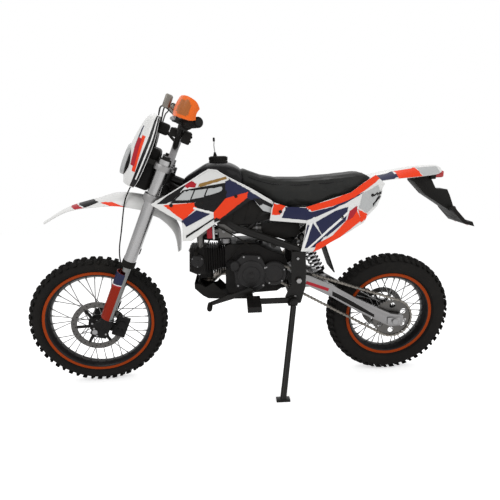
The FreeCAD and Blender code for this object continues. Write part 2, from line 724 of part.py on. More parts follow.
pivot_bolt = Part.makeCylinder(13, 8, V(PIVOT.x, PLATE_OUT, PIVOT.z), V(0, 1, 0))
hanger = slab(((520, 690), (575, 690), (575, 600), (520, 600)), -12, 12)
CROSS_TUBES = (
    # x, z, half length, radius
    (745.0, 612.0, 92.0, 10.0),
    (820.0, 386.0, 99.0, 11.0),
    (690.0, 664.0, 92.0, 10.0),
)
frame_solids = [Part.makeCylinder(amount("head_tube_r"), head_len, head_low, HEAD_WAY), down, hanger, back_bone]
for x, z, half, radius in CROSS_TUBES:
    frame_solids.append(Part.makeCylinder(radius, 2 * half, V(x, -half, z), V(0, 1, 0)))
for item in (spar, pivot_plate, pivot_bolt):
    frame_solids += [item, mirrored(item)]
STAND_PIVOT = V(820, -130, 382)
stand_bracket = Part.makeBox(34, 10, 40, V(803, -PLATE_OUT - 8, 362))
main_frame = united(frame_solids + [stand_bracket])
main_frame = main_frame.cut(Part.makeCylinder(amount("stem_r") + 1, 300, HEAD_BASE + HEAD_WAY * 560, HEAD_WAY))

rail = tube((V(640, 70, 668), V(700, 70, 742), V(930, 72, 745), V(1180, 58, 842)), amount("subframe_tube_r"), bend)
stay = tube((V(842, 92, 592), V(960, 80, 700), V(1090, 66, 806)), amount("subframe_tube_r"), bend)
SUBFRAME_CROSS = (
    # x, z, half length, radius
    (868.0, 625.0, 90.0, 10.0),
    (900.0, 745.0, 70.0, 8.0),
    (1160.0, 834.0, 58.0, 8.0),
)
subframe_solids = [rail, mirrored(rail), stay, mirrored(stay)]
for x, z, half, radius in SUBFRAME_CROSS:
    subframe_solids.append(Part.makeCylinder(radius, 2 * half, V(x, -half, z), V(0, 1, 0)))
subframe = united(subframe_solids).cut(main_frame)
node("main_frame", [solid("main_frame_tubes", main_frame)], "chassis")
node("subframe", [solid("subframe_tubes", subframe)], "chassis")

# Engine: the cylinder lies forward, below the frame
CASE_LEFT = -54.0
CASE_RIGHT = 90.0
SPROCKET_AT = V(750.0, 0, 497.0)
crankcase = slab(((548, 470), (548, 600), (562, 612), (680, 612), (722, 588), (790, 560), (806, 520),
                  (800, 430), (760, 405), (560, 396), (546, 420)), CASE_LEFT, CASE_RIGHT)
crankcase = crankcase.cut(main_frame)
node("crankcase", [solid("crankcase_block", crankcase)], "chassis")
left_cover = united([
    slab(((590, 440), (580, 540), (620, 575), (690, 570), (714, 520), (706, 440), (660, 412)), -90, CASE_LEFT),
    Part.makeCylinder(50, 14, V(746, -90, 494), V(0, 1, 0)),
    Part.makeCylinder(56, 6, V(652, -96, 496), V(0, 1, 0)),
])
left_cover = left_cover.cut(Part.makeCylinder(38, 22, V(SPROCKET_AT.x, -76, SPROCKET_AT.z), V(0, 1, 0)))
right_cover = united([
    slab(((600, 430), (590, 540), (640, 580), (720, 572), (770, 520), (760, 440), (700, 412)), CASE_RIGHT, 106),
    Part.makeCylinder(52, 10, V(690, 104, 500), V(0, 1, 0)),
])
node("engine_covers", [solid("left_cover_solid", left_cover), solid("clutch_cover_solid", right_cover)], "chassis")
CYLINDER_UP = 545.0
barrel = [Part.makeCylinder(42, 78, V(470, 0, CYLINDER_UP), V(1, 0, 0))]
FIN_COUNT = 8
for index in range(FIN_COUNT):
    barrel.append(Part.makeBox(3, 108, 108, V(474 + 9.4 * index, -54, CYLINDER_UP - 54)))
head = united([
    slab(((400, 502), (406, 600), (470, 600), (470, 490), (430, 488)), -48, 48),
    Part.makeCylinder(20, 30, V(476, 0, 464), V(0, 0, 1)),
    Part.makeBox(30, 40, 34, V(440, -20, 462)),
    Part.makeCylinder(26, 12, V(436, -58, 548), V(0, 1, 0)),
])
head = united(barrel + [head]).cut(crankcase).cut(main_frame)
node("cylinder", [solid("cylinder_and_head", head)], "chassis")
front_sprocket = Part.makeCylinder(29, 5, V(SPROCKET_AT.x, -67, SPROCKET_AT.z), V(0, 1, 0))
front_sprocket = front_sprocket.fuse(Part.makeCylinder(11, 12, V(SPROCKET_AT.x, -66, SPROCKET_AT.z), V(0, 1, 0)))
front_sprocket = front_sprocket.cut(crankcase)
intake = united([
    tube((V(452, -34, 598), V(452, -38, 668), V(540, -40, 672)), 15.0, 30.0),
    Part.makeBox(54, 50, 56, V(528, -66, 644)),
    Part.makeCylinder(20, 118, V(580, -40, 674), V(1, 0, 0)),
    Part.makeCylinder(17, 26, V(555, -40, 640), V(0, 0, -1)),
])
intake = intake.cut(head).cut(main_frame)
intake = max(intake.Solids, key=lambda item: item.Volume)
airbox = slab(((698, 646), (698, 698), (850, 698), (852, 650), (836, 640), (780, 634)), -66, 66)
airbox = airbox.cut(main_frame).cut(subframe)
node("carburettor", [solid("carburettor_solid", intake.cut(airbox))], "chassis")
node("airbox", [solid("airbox_solid", airbox)], "chassis")

# Exhaust on the bike's right
HEADER_UP = 437.0
header = tube((V(476, 0, 468), V(476, 4, 440), V(520, 138, HEADER_UP), V(740, 138, HEADER_UP), V(868, 150, 560),
               V(930, 160, 632)), amount("exhaust_r"), 24.0)
node("exhaust_header", [solid("exhaust_header_pipe", header.cut(head))], "chassis")
SILENCER_AT = V(926, 160, 628)
SILENCER_END = V(1180, 160, 776)
silencer_way = V(SILENCER_END - SILENCER_AT).normalize()
silencer = Part.makeCylinder(amount("silencer_r"), (SILENCER_END - SILENCER_AT).Length, SILENCER_AT, silencer_way)
silencer = silencer.fuse(Part.makeCylinder(16, 30, SILENCER_END, silencer_way))
silencer = silencer.fuse(Part.makeBox(30, 60, 14, V(1060, 60, 700)))
node("silencer", [solid("silencer_can", silencer.cut(header).cut(subframe))], "chassis")

skid_outer = slab(((419, 454), (419, 431), (450, 400), (473, 386), (550, 381), (660, 378),
                   (660, 392), (552, 396), (496, 454), (465, 435), (442, 448)), -62, 62)
skid_inner = slab(((415, 470), (425, 434), (454, 404), (475, 391), (550, 386), (670, 383), (670, 470)), -58, 58)
skid = skid_outer.cut(skid_inner)
skid = skid.cut(tube((V(476, 0, 468), V(476, 4, 440), V(520, 138, HEADER_UP), V(740, 138, HEADER_UP)), 22.0, 24.0))
skid = max(skid.Solids, key=lambda item: item.Volume)
skid_posts = [Part.makeBox(14, 14, 30, V(x, y, 382)) for x in (600, 640) for y in (-40, 26)]
skid = united([skid] + skid_posts).cut(crankcase)
node("skid_plate", [solid("skid_plate_shell", skid)], "chassis")

# Tank, shrouds, seat and side panels
TANK_STATIONS = (
    # x, bottom, shoulder, crown, half width
    (398.0, 806.0, 850.0, 878.0, 38.0),
    (450.0, 775.0, 878.0, 912.0, 64.0),
    (500.0, 756.0, 900.0, 937.0, 76.0),
    (560.0, 748.0, 902.0, 938.0, 80.0),
    (612.0, 748.0, 876.0, 912.0, 68.0),
)
tank_wires = []
for x, bottom, shoulder, crown, half in TANK_STATIONS:
    arc = Part.Arc(V(x, -half, shoulder), V(x, 0, crown), V(x, half, shoulder)).toShape()
    tank_wires.append(Part.Wire([arc, Part.makeLine(V(x, half, shoulder), V(x, half - 6, bottom)),
                                 Part.makeLine(V(x, half - 6, bottom), V(x, 6 - half, bottom)),
                                 Part.makeLine(V(x, 6 - half, bottom), V(x, -half, shoulder))]))
tank = Part.makeLoft(tank_wires, True, True).cut(main_frame)
cap = Part.makeCylinder(37, 26, V(536, 0, 934), V(0, 0, 1))
cap = united([
    cap,
    Part.makeCylinder(6, 20, V(524, 0, 956), V(0, 0, 1)),
    Part.makeCylinder(2.2, 50, V(522, 0, 970), V(0, 0, 1)),
    Part.makeCylinder(4, 16, V(522, 0, 1016), V(0, 0, 1)),
]).cut(tank)


def panel(edge_points, low_plan, high_plan, low, high, thick):
    """Side panel: a leaning band of constant thickness kept inside its side-view outline."""
    rings = []
    for plan, z in ((low_plan, low), (high_plan, high)):
        ring = [V(x, -y, z) for x, y in plan]
        ring += [V(x, thick - y, z) for x, y in reversed(plan)]
        rings.append(Part.makePolygon(ring + ring[:1]))
    band = Part.makeLoft(rings, True, True)
    return band.common(slab(edge_points, -260, 0))


SHROUD_EDGE = ((285, 795), (304, 802), (429, 875), (500, 916), (533, 912), (554, 895), (583, 877), (650, 843),
               (746, 783), (740, 740), (700, 752), (668, 798), (650, 790), (610, 765), (560, 735), (515, 712),
               (505, 705), (430, 655), (393, 655), (398, 700), (396, 725), (346, 755))
SHROUD_LOW = ((275, 150), (380, 158), (470, 152), (560, 128), (665, 104), (760, 88))
SHROUD_HIGH = ((275, 134), (380, 120), (470, 98), (560, 90), (665, 78), (760, 66))
shroud = panel(SHROUD_EDGE, SHROUD_LOW, SHROUD_HIGH, 640, 930, amount("panel_thick"))
SIDE_EDGE = ((729, 714), (748, 783), (800, 765), (870, 762), (1043, 813), (1098, 851), (1141, 878), (1185, 840),
             (1165, 816), (1168, 791), (1152, 756), (1109, 715), (1098, 694), (1043, 661), (967, 623), (908, 588),
             (848, 588), (877, 700))
SIDE_LOW = ((690, 104), (800, 114), (900, 118), (1000, 116), (1100, 106), (1200, 92))
SIDE_HIGH = ((690, 84), (800, 94), (900, 98), (1000, 97), (1100, 90), (1200, 80))
side_panel = panel(SIDE_EDGE, SIDE_LOW, SIDE_HIGH, 580, 880, amount("panel_thick"))
side_panel = side_panel.cut(shroud)


def reach(base, radius, panel_shape):
    """Bar out from the middle plane to the inside of a left-hand panel."""
    bar = Part.makeCylinder(radius, 240, base, V(0, -1, 0)).cut(panel_shape)
    return max(bar.Solids, key=lambda item: item.CenterOfMass.y)


tank_bosses = [reach(V(470, -50, 862), 8, shroud), reach(V(560, -60, 800), 8, shroud)]
tank = united([tank] + tank_bosses + [mirrored(item) for item in tank_bosses]).cut(main_frame)
node("fuel_tank", [solid("fuel_tank_solid", tank)], "chassis")
node("fuel_cap", [solid("fuel_cap_solid", cap)], "chassis")
seat = slab(((606, 917), (650, 898), (700, 879), (760, 867), (860, 865), (1000, 874), (1110, 884), (1140, 872),
             (1122, 846), (1100, 823), (932, 757), (780, 757), (742, 783), (665, 830), (612, 850)), -100, 100)
seat_plan = [(600, 50), (680, 60), (780, 76), (900, 88), (1020, 86), (1100, 76), (1150, 54)]
ring = [V(x, -y, 700) for x, y in seat_plan] + [V(x, y, 700) for x, y in reversed(seat_plan)]
seat = seat.common(Part.Face(Part.makePolygon(ring + ring[:1])).extrude(V(0, 0, 300)))
seat = seat.cut(tank).cut(subframe)
node("seat", [solid("seat_pad", seat)], "chassis")
FENDER_BACK = (
    # x, up, slope, half width, depth
    (1096.0, 862.0, 4.0, 72.0, 20.0),
    (1200.0, 884.0, 6.0, 76.0, 27.0),
    (1300.0, 899.0, 5.0, 70.0, 36.0),
    (1405.0, 904.0, 1.0, 56.0, 34.0),
)
rear_fender = Part.makeLoft([arch(*station, amount("fender_thick")) for station in FENDER_BACK], True, True)
rear_fender = rear_fender.cut(seat)
rear_fender = max(rear_fender.Solids, key=lambda item: item.Volume)
fender_prop = united([Part.makeBox(24, 90, 34, V(1150, -45, 842)), Part.makeBox(150, 30, 8, V(1165, -15, 866))])
panel_bosses = [reach(V(800, -60, 745), 7, side_panel), reach(V(1020, -60, 788), 7, side_panel)]
prop_solids = panel_bosses + [mirrored(item) for item in panel_bosses]
subframe_extra = []
for item in prop_solids:
    subframe_extra.append(item)
subframe = united([subframe] + subframe_extra).cut(seat)
doc.getObject("subframe_tubes").Shape = subframe
node("shrouds", [solid("shroud_left", shroud), solid("shroud_right", mirrored(shroud))], "chassis")
panel_slot = Part.makeBox(38, 60, 22, V(1056, 80, 696))
right_panel = max(mirrored(side_panel).cut(panel_slot).Solids, key=lambda item: item.Volume)
node("side_panels", [solid("side_panel_left", side_panel), solid("side_panel_right", right_panel)], "chassis")
node("rear_fender", [solid("rear_fender_shell", rear_fender.cut(subframe))], "chassis")
lamp_red = Part.makeBox(40, 84, 46, V(1388, -42, 850)).cut(rear_fender)
lamp_red = max(lamp_red.Solids, key=lambda item: item.Volume)
node("tail_lamp", [solid("tail_lamp_solid", lamp_red)], "chassis")
PLATE_HOLE_R = 3.2
PLATE_HOLE_SIDE = 40.0
PLATE_THICK = 14.0
holder_arm = slab(((1318, 866), (1317, 844), (1370, 789), (1427, 752), (1480, 718), (1494, 734), (1473, 783),
                   (1460, 807), (1413, 810), (1388, 855), (1388, 872)), -30, 30)
plate_from = V(1480, 0, 718)
plate_to = V(1528, 0, 668)
plate_way = V(plate_to - plate_from).normalize()
plate_back = V(-plate_way.z, 0, plate_way.x)
back_from = plate_from + plate_back * PLATE_THICK
back_to = plate_to + plate_back * PLATE_THICK
holder_plate = slab(((1468, 736), (plate_from.x, plate_from.z), (plate_to.x, plate_to.z), (1572, 656), (1562, 676),
                     (back_to.x, back_to.z), (back_from.x, back_from.z), (1482, 742)), -62, 62)
holder = united([holder_arm, holder_plate]).cut(rear_fender).cut(lamp_red)
plate_middle = plate_from + plate_way * 34 + plate_back * (PLATE_THICK / 2)
for y in (-PLATE_HOLE_SIDE, PLATE_HOLE_SIDE):
    spot = plate_middle + V(0, y, 0)
    holder = holder.cut(Part.makeCylinder(PLATE_HOLE_R, 80, spot - plate_back * 40, plate_back))
holder = max(holder.Solids, key=lambda item: item.Volume)
node("plate_holder", [solid("plate_holder_solid", holder)], "chassis")

# Swingarm, shock absorber, chain and rear brake
TYRE_FRONT = REAR_AXLE.x - amount("rear_tyre_r")
ARM_IN = 77.0
ARM_OUT = 97.0
ARM_EDGE = (
    # share of the way from pivot to axle, height above the line between them, depth below it
    (0.0, 26.0, 24.0),
    (0.07, 34.0, 12.0),
    (0.345, 36.0, 16.0),
    (0.63, 23.0, 31.0),
    (0.957, 23.0, 34.0),
)
arm_top = []
arm_low = []
for share, above, below in ARM_EDGE:
    on_line = PIVOT + (REAR_AXLE - PIVOT) * share
    arm_top.append((on_line.x, on_line.z + above))
    arm_low.append((on_line.x, on_line.z - below))
arm_end = [(REAR_AXLE.x + 37, REAR_AXLE.z + 22), (REAR_AXLE.x + 37, REAR_AXLE.z - 22)]
arm = slab(arm_top + arm_end + arm_low[::-1], ARM_IN, ARM_OUT)
arm = arm.fuse(Part.makeCylinder(25, ARM_OUT - ARM_IN, V(PIVOT.x, ARM_IN, PIVOT.z), V(0, 1, 0)))
swingarm = united([
    arm, mirrored(arm),
    Part.makeCylinder(17, 2 * PLATE_IN, V(PIVOT.x, -PLATE_IN, PIVOT.z), V(0, 1, 0)),
    Part.makeBox(32, 2 * ARM_IN, 34, V(874, -ARM_IN, 426)),
    Part.makeBox(36, 2 * ARM_IN, 34, V(TYRE_FRONT - 45, -ARM_IN, 404)),
    Part.makeBox(28, 6, 26, V(TYRE_FRONT - 41, 15, 436)),
    Part.makeBox(28, 6, 26, V(TYRE_FRONT - 41, -21, 436)),
])
axle_end = ARM_OUT + 12
rear_axle = united([
    Part.makeCylinder(amount("axle_r"), 2 * axle_end, REAR_AXLE - V(0, axle_end, 0), V(0, 1, 0)),
    Part.makeCylinder(12, ARM_IN - 54.2, REAR_AXLE - V(0, ARM_IN, 0), V(0, 1, 0)),
    Part.makeCylinder(12, ARM_IN - 54.2, REAR_AXLE + V(0, 54.2, 0), V(0, 1, 0)),
    Part.makeCylinder(13, 12, REAR_AXLE - V(0, axle_end, 0), V(0, 1, 0)),
    Part.makeCylinder(13, 12, REAR_AXLE + V(0, ARM_OUT, 0), V(0, 1, 0)),
])
node("swingarm", [solid("swingarm_solid", swingarm.cut(rear_axle).cut(main_frame))], "chassis")
node("rear_axle", [solid("rear_axle_bar", rear_axle)], "chassis")
SHOCK_TOP = V(868, 0, 625)
SHOCK_LOW = V(TYRE_FRONT - 27, 0, 454)
shock_way = V(SHOCK_LOW - SHOCK_TOP).normalize()
shock_len = (SHOCK_LOW - SHOCK_TOP).Length
COIL_THICK = 6.0
COIL_STEP = 11.5
shock = united([
    Part.makeCylinder(18, 30, SHOCK_TOP - V(0, 15, 0), V(0, 1, 0)),
    Part.makeCylinder(13, 30, SHOCK_LOW - V(0, 15, 0), V(0, 1, 0)),
    Part.makeCylinder(16, shock_len - 30, SHOCK_TOP, shock_way),
    Part.makeCylinder(10, shock_len, SHOCK_TOP, shock_way),
] + [
    Part.makeCylinder(amount("shock_r"), COIL_THICK, SHOCK_TOP + shock_way * (26 + COIL_STEP * index), shock_way)
    for index in range(int((shock_len - 52) / COIL_STEP) + 1)
])
node("shock_absorber", [solid("shock_solid", shock.cut(subframe).cut(swingarm))], "chassis")
mud_flap = slab(((893, 740), (899, 740), (960, 600), (1002, 480), (996, 480), (954, 600)), -62, 62)
mud_flap = max(mud_flap.cut(subframe).cut(airbox).Solids, key=lambda item: item.Volume)
node("mud_flap", [solid("mud_flap_sheet", mud_flap)], "chassis")

CHAIN_FRONT_R = 30.5
CHAIN_REAR_R = 83.0


def belt(front_r, rear_r, y, width):
    """Closed strap face round both sprockets, extruded to its width."""
    front = V(SPROCKET_AT.x, y, SPROCKET_AT.z)
    rear = V(REAR_AXLE.x, y, REAR_AXLE.z)
    along = V(rear - front)
    distance = along.Length
    along.normalize()
    across = V(-along.z, 0, along.x)
    sine = (front_r - rear_r) / distance
    cosine = math.sqrt(1 - sine ** 2)
    up = along * sine + across * cosine
    low = along * sine - across * cosine
    edges = [Part.makeLine(front + up * front_r, rear + up * rear_r),
             Part.Arc(rear + up * rear_r, rear + along * rear_r, rear + low * rear_r).toShape(),
             Part.makeLine(rear + low * rear_r, front + low * front_r),
             Part.Arc(front + low * front_r, front - along * front_r, front + up * front_r).toShape()]
    return Part.Face(Part.Wire(edges)).extrude(V(0, width, 0))


CHAIN_LINKS = 92


def scalloped(ring_face, low, high):
    """Outline of link plates: the strap's outer edge, low between pins and high at them."""
    wire = ring_face.OuterWire
    spots = wire.discretize(2 * CHAIN_LINKS + 1)[:-1]
    middle = ring_face.CenterOfMass
    ring = []
    for index, spot in enumerate(spots):
        along = V(spots[(index + 1) % len(spots)] - spots[index - 1]).normalize()
        across = V(-along.z, 0, along.x)
        if across.dot(V(spot - middle)) < 0:
            across = across * -1
        ring.append(spot + across * (high if index % 2 else low))
    return Part.Face(Part.makePolygon(ring + ring[:1]))


chain_side = amount("chain_side")
half_height = amount("chain_half_height")
PLATE_WIDE = 4.6
straps = []
for y in (-amount("chain_side + chain_half_width"), -amount("chain_side - chain_half_width") - PLATE_WIDE):
    pins = belt(CHAIN_FRONT_R, CHAIN_REAR_R, y, PLATE_WIDE)
    pin_face = min(pins.Faces, key=lambda item: item.CenterOfMass.y)
    outer = scalloped(pin_face, half_height - 2.2, half_height).extrude(V(0, PLATE_WIDE, 0))
    inner = belt(CHAIN_FRONT_R - half_height, CHAIN_REAR_R - half_height, y - 1, PLATE_WIDE + 2)
    straps.append(outer.cut(inner))
node("drive_chain", [solid("chain_straps", Part.makeCompound(straps)), solid("front_sprocket", front_sprocket)],
     "chassis")
REAR_DISC_EDGE = REAR_AXLE.x - amount("rear_disc_r")
rear_caliper = united([
    Part.makeBox(56, 33, 52, V(REAR_DISC_EDGE - 18, 44, REAR_AXLE.z + 32)),
    Part.makeBox(30, 5, 30, V(REAR_DISC_EDGE - 8, 73, REAR_AXLE.z + 62)),
])
rear_slot_r = amount("rear_disc_r") + SLOT_CLEAR
rear_caliper = rear_caliper.cut(Part.makeCylinder(rear_slot_r, 4.6, REAR_AXLE + V(0, 51.5, 0), V(0, 1, 0)))
rear_caliper = rear_caliper.cut(swingarm)
node("rear_caliper", [solid("rear_caliper_body", rear_caliper)], "chassis")

# Controls at the rider's feet
peg_sets = []
for side in (-1, 1):
    peg_set = united([
        Part.makeBox(150, 12, 22, V(650, -123, 376)),
        Part.makeBox(54, 118, 22, V(630, -236, 390)),
        Part.makeBox(24, 6, 24, V(790, -117, 374)),
        Part.makeBox(20, 12, 30, V(650, -123, 376)),
    ])
    peg_sets.append(peg_set if side < 0 else mirrored(peg_set))
pegs = Part.makeCompound([item.cut(main_frame) for item in peg_sets])
node("foot_pegs", [solid("foot_peg_pair", pegs)], "chassis")
shift = united([
    slab(((660, 432), (644, 444), (474, 384), (478, 370), (650, 420)), -110, -102),
    Part.makeCylinder(8, 50, V(482, -102, 376), V(0, -1, 0)),
    Part.makeCylinder(8, 60, V(650, -50, 432), V(0, -1, 0)),
])
shift = shift.cut(crankcase).cut(left_cover)
brake_pedal = united([
    slab(((700, 376), (700, 396), (572, 404), (548, 404), (548, 390), (572, 388)), 124, 132),
    Part.makeBox(30, 44, 8, V(546, 124, 396)),
])
kick = united([
    Part.makeCylinder(8, 44, V(716, 104, 474), V(0, 1, 0)),
    slab(((708, 470), (724, 466), (764, 600), (752, 606)), 140, 148),
    Part.makeCylinder(8, 60, V(758, 140, 600), V(0, 1, 0)),
])
node("foot_levers", [solid("shift_lever", shift), solid("brake_pedal", brake_pedal.cut(pegs)),
                     solid("kick_starter", kick.cut(right_cover))], "chassis")

# Standing pose: lean and steering as parked, then pitch and height so both tyres meet the floor
doc.recompute()
lean = place(V(0, 0, 0), V(1, 0, 0), amount("lean_deg"))
fork_upright = FreeCAD.Placement(HEAD_BASE, FreeCAD.Rotation(V(0, 1, 0), amount("rake_deg")))
steer = place(V(0, 0, 0), V(0, 0, 1), amount("steer_deg"))
fork = lean.multiply(fork_upright).multiply(steer)
front_wheel = fork.multiply(place(V(AXLE_X, 0, 0)))
front_wheel = front_wheel.multiply(place(V(0, 0, 0), V(0, 1, 0), -amount("rake_deg")))
rear_wheel = lean.multiply(place(REAR_AXLE))


def floor_height(piece, where):
    shape = piece.Shape.copy()
    shape.Placement = where.multiply(shape.Placement)
    return shape.optimalBoundingBox(False).ZMin


front_tyre = doc.getObject("front_tyre_body")
rear_tyre = doc.getObject("rear_tyre_body")
settle = FreeCAD.Placement()
for attempt in range(4):
    low_front = floor_height(front_tyre, settle.multiply(front_wheel))
    low_rear = floor_height(rear_tyre, settle.multiply(rear_wheel))
    pitch = math.degrees(math.atan2(low_rear - low_front, REAR_AXLE.x))
    settle = place(V(0, 0, -low_front), V(0, 1, 0), 0.0).multiply(place(V(0, 0, 0), V(0, 1, 0), pitch)).multiply(settle)
chassis_at = settle.multiply(lean)

# Side stand, drawn once the floor is known
FOOT = V(753.5, -309.8, 0)
foot_spot = chassis_at.inverse().multVec(FOOT)
floor_turn = chassis_at.inverse().Rotation
STAND_AXIS = V(0.095, -0.984, 0.084).normalize()
leg_to = foot_spot - STAND_PIVOT
leg_way = V(leg_to).normalize()
foot_pad = Part.makeBox(52, 34, 8, V(-26, -17, 0))
foot_pad.Placement = FreeCAD.Placement(leg_to, floor_turn)
LEG_GAP = 15.0
stand = united([
    Part.makeCylinder(16, 12, STAND_AXIS * -6, STAND_AXIS),
    Part.makeCylinder(amount("stand_tube_r"), leg_to.Length - 4 - LEG_GAP, leg_way * LEG_GAP, leg_way),
    foot_pad,
])
half_space = Part.makeBox(400, 400, 60, V(-200, -200, -60))
half_space.Placement = FreeCAD.Placement(leg_to, floor_turn)
stand = stand.cut(half_space)
pin_hole = Part.makeCylinder(amount("stand_pivot_r") + amount("running_clear"), 60, STAND_AXIS * -30, STAND_AXIS)
stand = stand.cut(pin_hole)
node("side_stand", [solid("side_stand_solid", stand)], "stand")
pin = Part.makeCylinder(amount("stand_pivot_r"), 24, STAND_PIVOT - STAND_AXIS * 15, STAND_AXIS)
pin = pin.fuse(Part.makeCylinder(12, 3, STAND_PIVOT + STAND_AXIS * 7, STAND_AXIS))
doc.getObject("main_frame_tubes").Shape = main_frame.fuse(pin)
doc.recompute()

FRAMES = {
    "chassis": chassis_at,
    "fork": settle.multiply(fork),
    "front_wheel": settle.multiply(front_wheel),
    "rear_wheel": settle.multiply(rear_wheel),
    "stand": chassis_at.multiply(place(STAND_PIVOT)),
}
low = V(1e9, 1e9, 0)
high = V(-1e9, -1e9, 0)
for label, piece, frame in NODES:
    shape = piece.Shape.copy()
    shape.Placement = FRAMES[frame].multiply(shape.Placement)
    extent = shape.optimalBoundingBox(False)
    low = V(min(low.x, extent.XMin), min(low.y, extent.YMin), 0)
    high = V(max(high.x, extent.XMax), max(high.y, extent.YMax), 0)
centre = place(V(-(low.x + high.x) / 2, -(low.y + high.y) / 2, 0))
for label, piece, frame in NODES:
    piece.Placement = centre.multiply(FRAMES[frame])
doc.recompute()

JOINTS = (
    # name, frame, place on the axis, direction of the axis
    ("steering", "fork", V(0, 0, 660), V(0, 0, 1)),
    ("front_wheel_spin", "front_wheel", V(0, 0, 0), V(0, 1, 0)),
    ("rear_wheel_spin", "rear_wheel", V(0, 0, 0), V(0, 1, 0)),
    ("side_stand", "stand", V(0, 0, 0), STAND_AXIS),
)
print("SPAN %.6f %.6f" % (high.x - low.x, high.y - low.y))
for name, frame, spot, way in JOINTS:
    world = centre.multiply(FRAMES[frame])
    at = world.multVec(spot) / 1000
    axis = world.Rotation.multVec(way)
    print("JOINT %s %.6f %.6f %.6f %.6f %.6f %.6f" % (name, at.x, at.y, at.z, axis.x, axis.y, axis.z))

MARKS = (
    # where other things fasten or rest: name, frame, place, outward direction
    ("number_plate_left", "chassis", plate_middle - V(0, PLATE_HOLE_SIDE, 0), plate_back),
    ("number_plate_right", "chassis", plate_middle + V(0, PLATE_HOLE_SIDE, 0), plate_back),
    ("rear_axle_end_left", "chassis", REAR_AXLE - V(0, ARM_OUT + 6, 0), V(0, -1, 0)),
    ("rear_axle_end_right", "chassis", REAR_AXLE + V(0, ARM_OUT + 6, 0), V(0, 1, 0)),
    ("silencer_outlet", "chassis", SILENCER_END + silencer_way * 15, silencer_way),
    ("left_foot_peg_top", "chassis", V(657, -200, 412), V(0, 0, 1)),
    ("right_foot_peg_top", "chassis", V(657, 200, 412), V(0, 0, 1)),
)
for name, frame, spot, way in MARKS:
    world = centre.multiply(FRAMES[frame])
    at = world.multVec(spot) / 1000
    axis = world.Rotation.multVec(way)
    print("MARK %s %.6f %.6f %.6f %.6f %.6f %.6f" % (name, at.x, at.y, at.z, axis.x, axis.y, axis.z))

for item in doc.Objects:
    if "Invalid" in item.State or "Error" in item.State:
        raise RuntimeError("%s is %s" % (item.Label, item.State))
for label, piece, frame in NODES:
    if piece.Shape.isNull() or not piece.Shape.isValid():
        raise RuntimeError(label + " has no valid shape")
    piece.Shape.exportStep("parts/%s.step" % label)
    print(label, len(piece.Shape.Solids), "solids", round(piece.Shape.Volume / 1000.0), "cm3")
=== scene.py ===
# %% [markdown]
# # Enduro motorcycle on its side stand
# The machine is a small enduro motorcycle of the pit-bike type. FreeCAD holds its
# construction, so this notebook loads that model first and never moves it. What follows
# dresses it: better surfaces everywhere, and finer pieces where the plain solids fall short.

# %% Load the frame
import bpy
import json
import math
from mathutils import Matrix, Vector


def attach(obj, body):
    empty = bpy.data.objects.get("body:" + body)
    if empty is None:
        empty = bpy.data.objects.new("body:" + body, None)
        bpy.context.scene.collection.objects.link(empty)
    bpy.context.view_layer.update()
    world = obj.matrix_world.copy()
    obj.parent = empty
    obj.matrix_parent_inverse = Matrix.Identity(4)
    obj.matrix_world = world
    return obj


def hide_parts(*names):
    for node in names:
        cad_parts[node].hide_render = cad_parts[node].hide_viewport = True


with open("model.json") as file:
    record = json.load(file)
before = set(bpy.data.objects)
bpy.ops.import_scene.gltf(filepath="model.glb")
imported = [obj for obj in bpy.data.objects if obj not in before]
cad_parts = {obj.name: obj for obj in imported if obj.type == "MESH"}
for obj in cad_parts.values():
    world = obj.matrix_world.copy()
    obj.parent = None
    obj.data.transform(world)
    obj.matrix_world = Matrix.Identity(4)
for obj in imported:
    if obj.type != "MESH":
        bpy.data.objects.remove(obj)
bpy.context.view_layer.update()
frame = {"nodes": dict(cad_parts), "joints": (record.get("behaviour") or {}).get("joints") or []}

NODES = frame["nodes"]

# %% [markdown]
# ## Working frames
# A motorcycle is easiest to model standing upright, but this one leans on its stand with the
# bars turned a little. Each group of pieces gets a matrix that takes its own upright
# coordinates to the parked pose. The matrices come from the joints, so they follow the CAD.

# %% Upright coordinates of each group
JOINTS = {joint["name"]: joint for joint in frame["joints"]}
WHEELBASE = 1.2526
REAR_AXLE_UP = 0.268
AXLE_AHEAD = 0.057
HEAD_MARK = 0.660
RAKE = math.radians(24.1)
FORK_FOOT_AHEAD, FORK_FOOT_UP = 0.05203, 0.26273


def axes_matrix(origin, across, up):
    """Matrix whose y is across, whose z is nearest to up, and whose origin is given."""
    y = Vector(across).normalized()
    z = (Vector(up) - y * y.dot(Vector(up))).normalized()
    x = y.cross(z)
    matrix = Matrix((x, y, z)).transposed().to_4x4()
    return Matrix.Translation(Vector(origin)) @ matrix


spin_rear = JOINTS["rear_wheel_spin"]
spin_front = JOINTS["front_wheel_spin"]
steering = JOINTS["steering"]
head_spot = Vector((FORK_FOOT_AHEAD + math.sin(RAKE) * HEAD_MARK, 0,
                    FORK_FOOT_UP + math.cos(RAKE) * HEAD_MARK))
upright_way = head_spot - Vector((WHEELBASE, 0, REAR_AXLE_UP))
parked_way = Vector(steering["pos_m"]) - Vector(spin_rear["pos_m"])
across_way = Vector(spin_rear["axis"]).normalized()
side_way = across_way.cross(parked_way)
up_way = parked_way * upright_way.z - side_way * upright_way.x
REAR = axes_matrix(spin_rear["pos_m"], across_way, up_way)
CHASSIS = REAR @ Matrix.Translation((-WHEELBASE, 0, -REAR_AXLE_UP))
steered = axes_matrix(steering["pos_m"], spin_front["axis"], steering["axis"])
FORK = steered @ Matrix.Translation((0, 0, -HEAD_MARK))
FRONT = FORK @ Matrix.Translation((-AXLE_AHEAD, 0, 0)) @ Matrix.Rotation(-RAKE, 4, "Y")
UPRIGHT = {"chassis": CHASSIS, "fork": FORK, "front_wheel": FRONT, "rear_wheel": REAR}
lean = math.degrees(math.atan2(-CHASSIS[1][2], CHASSIS[2][2]))
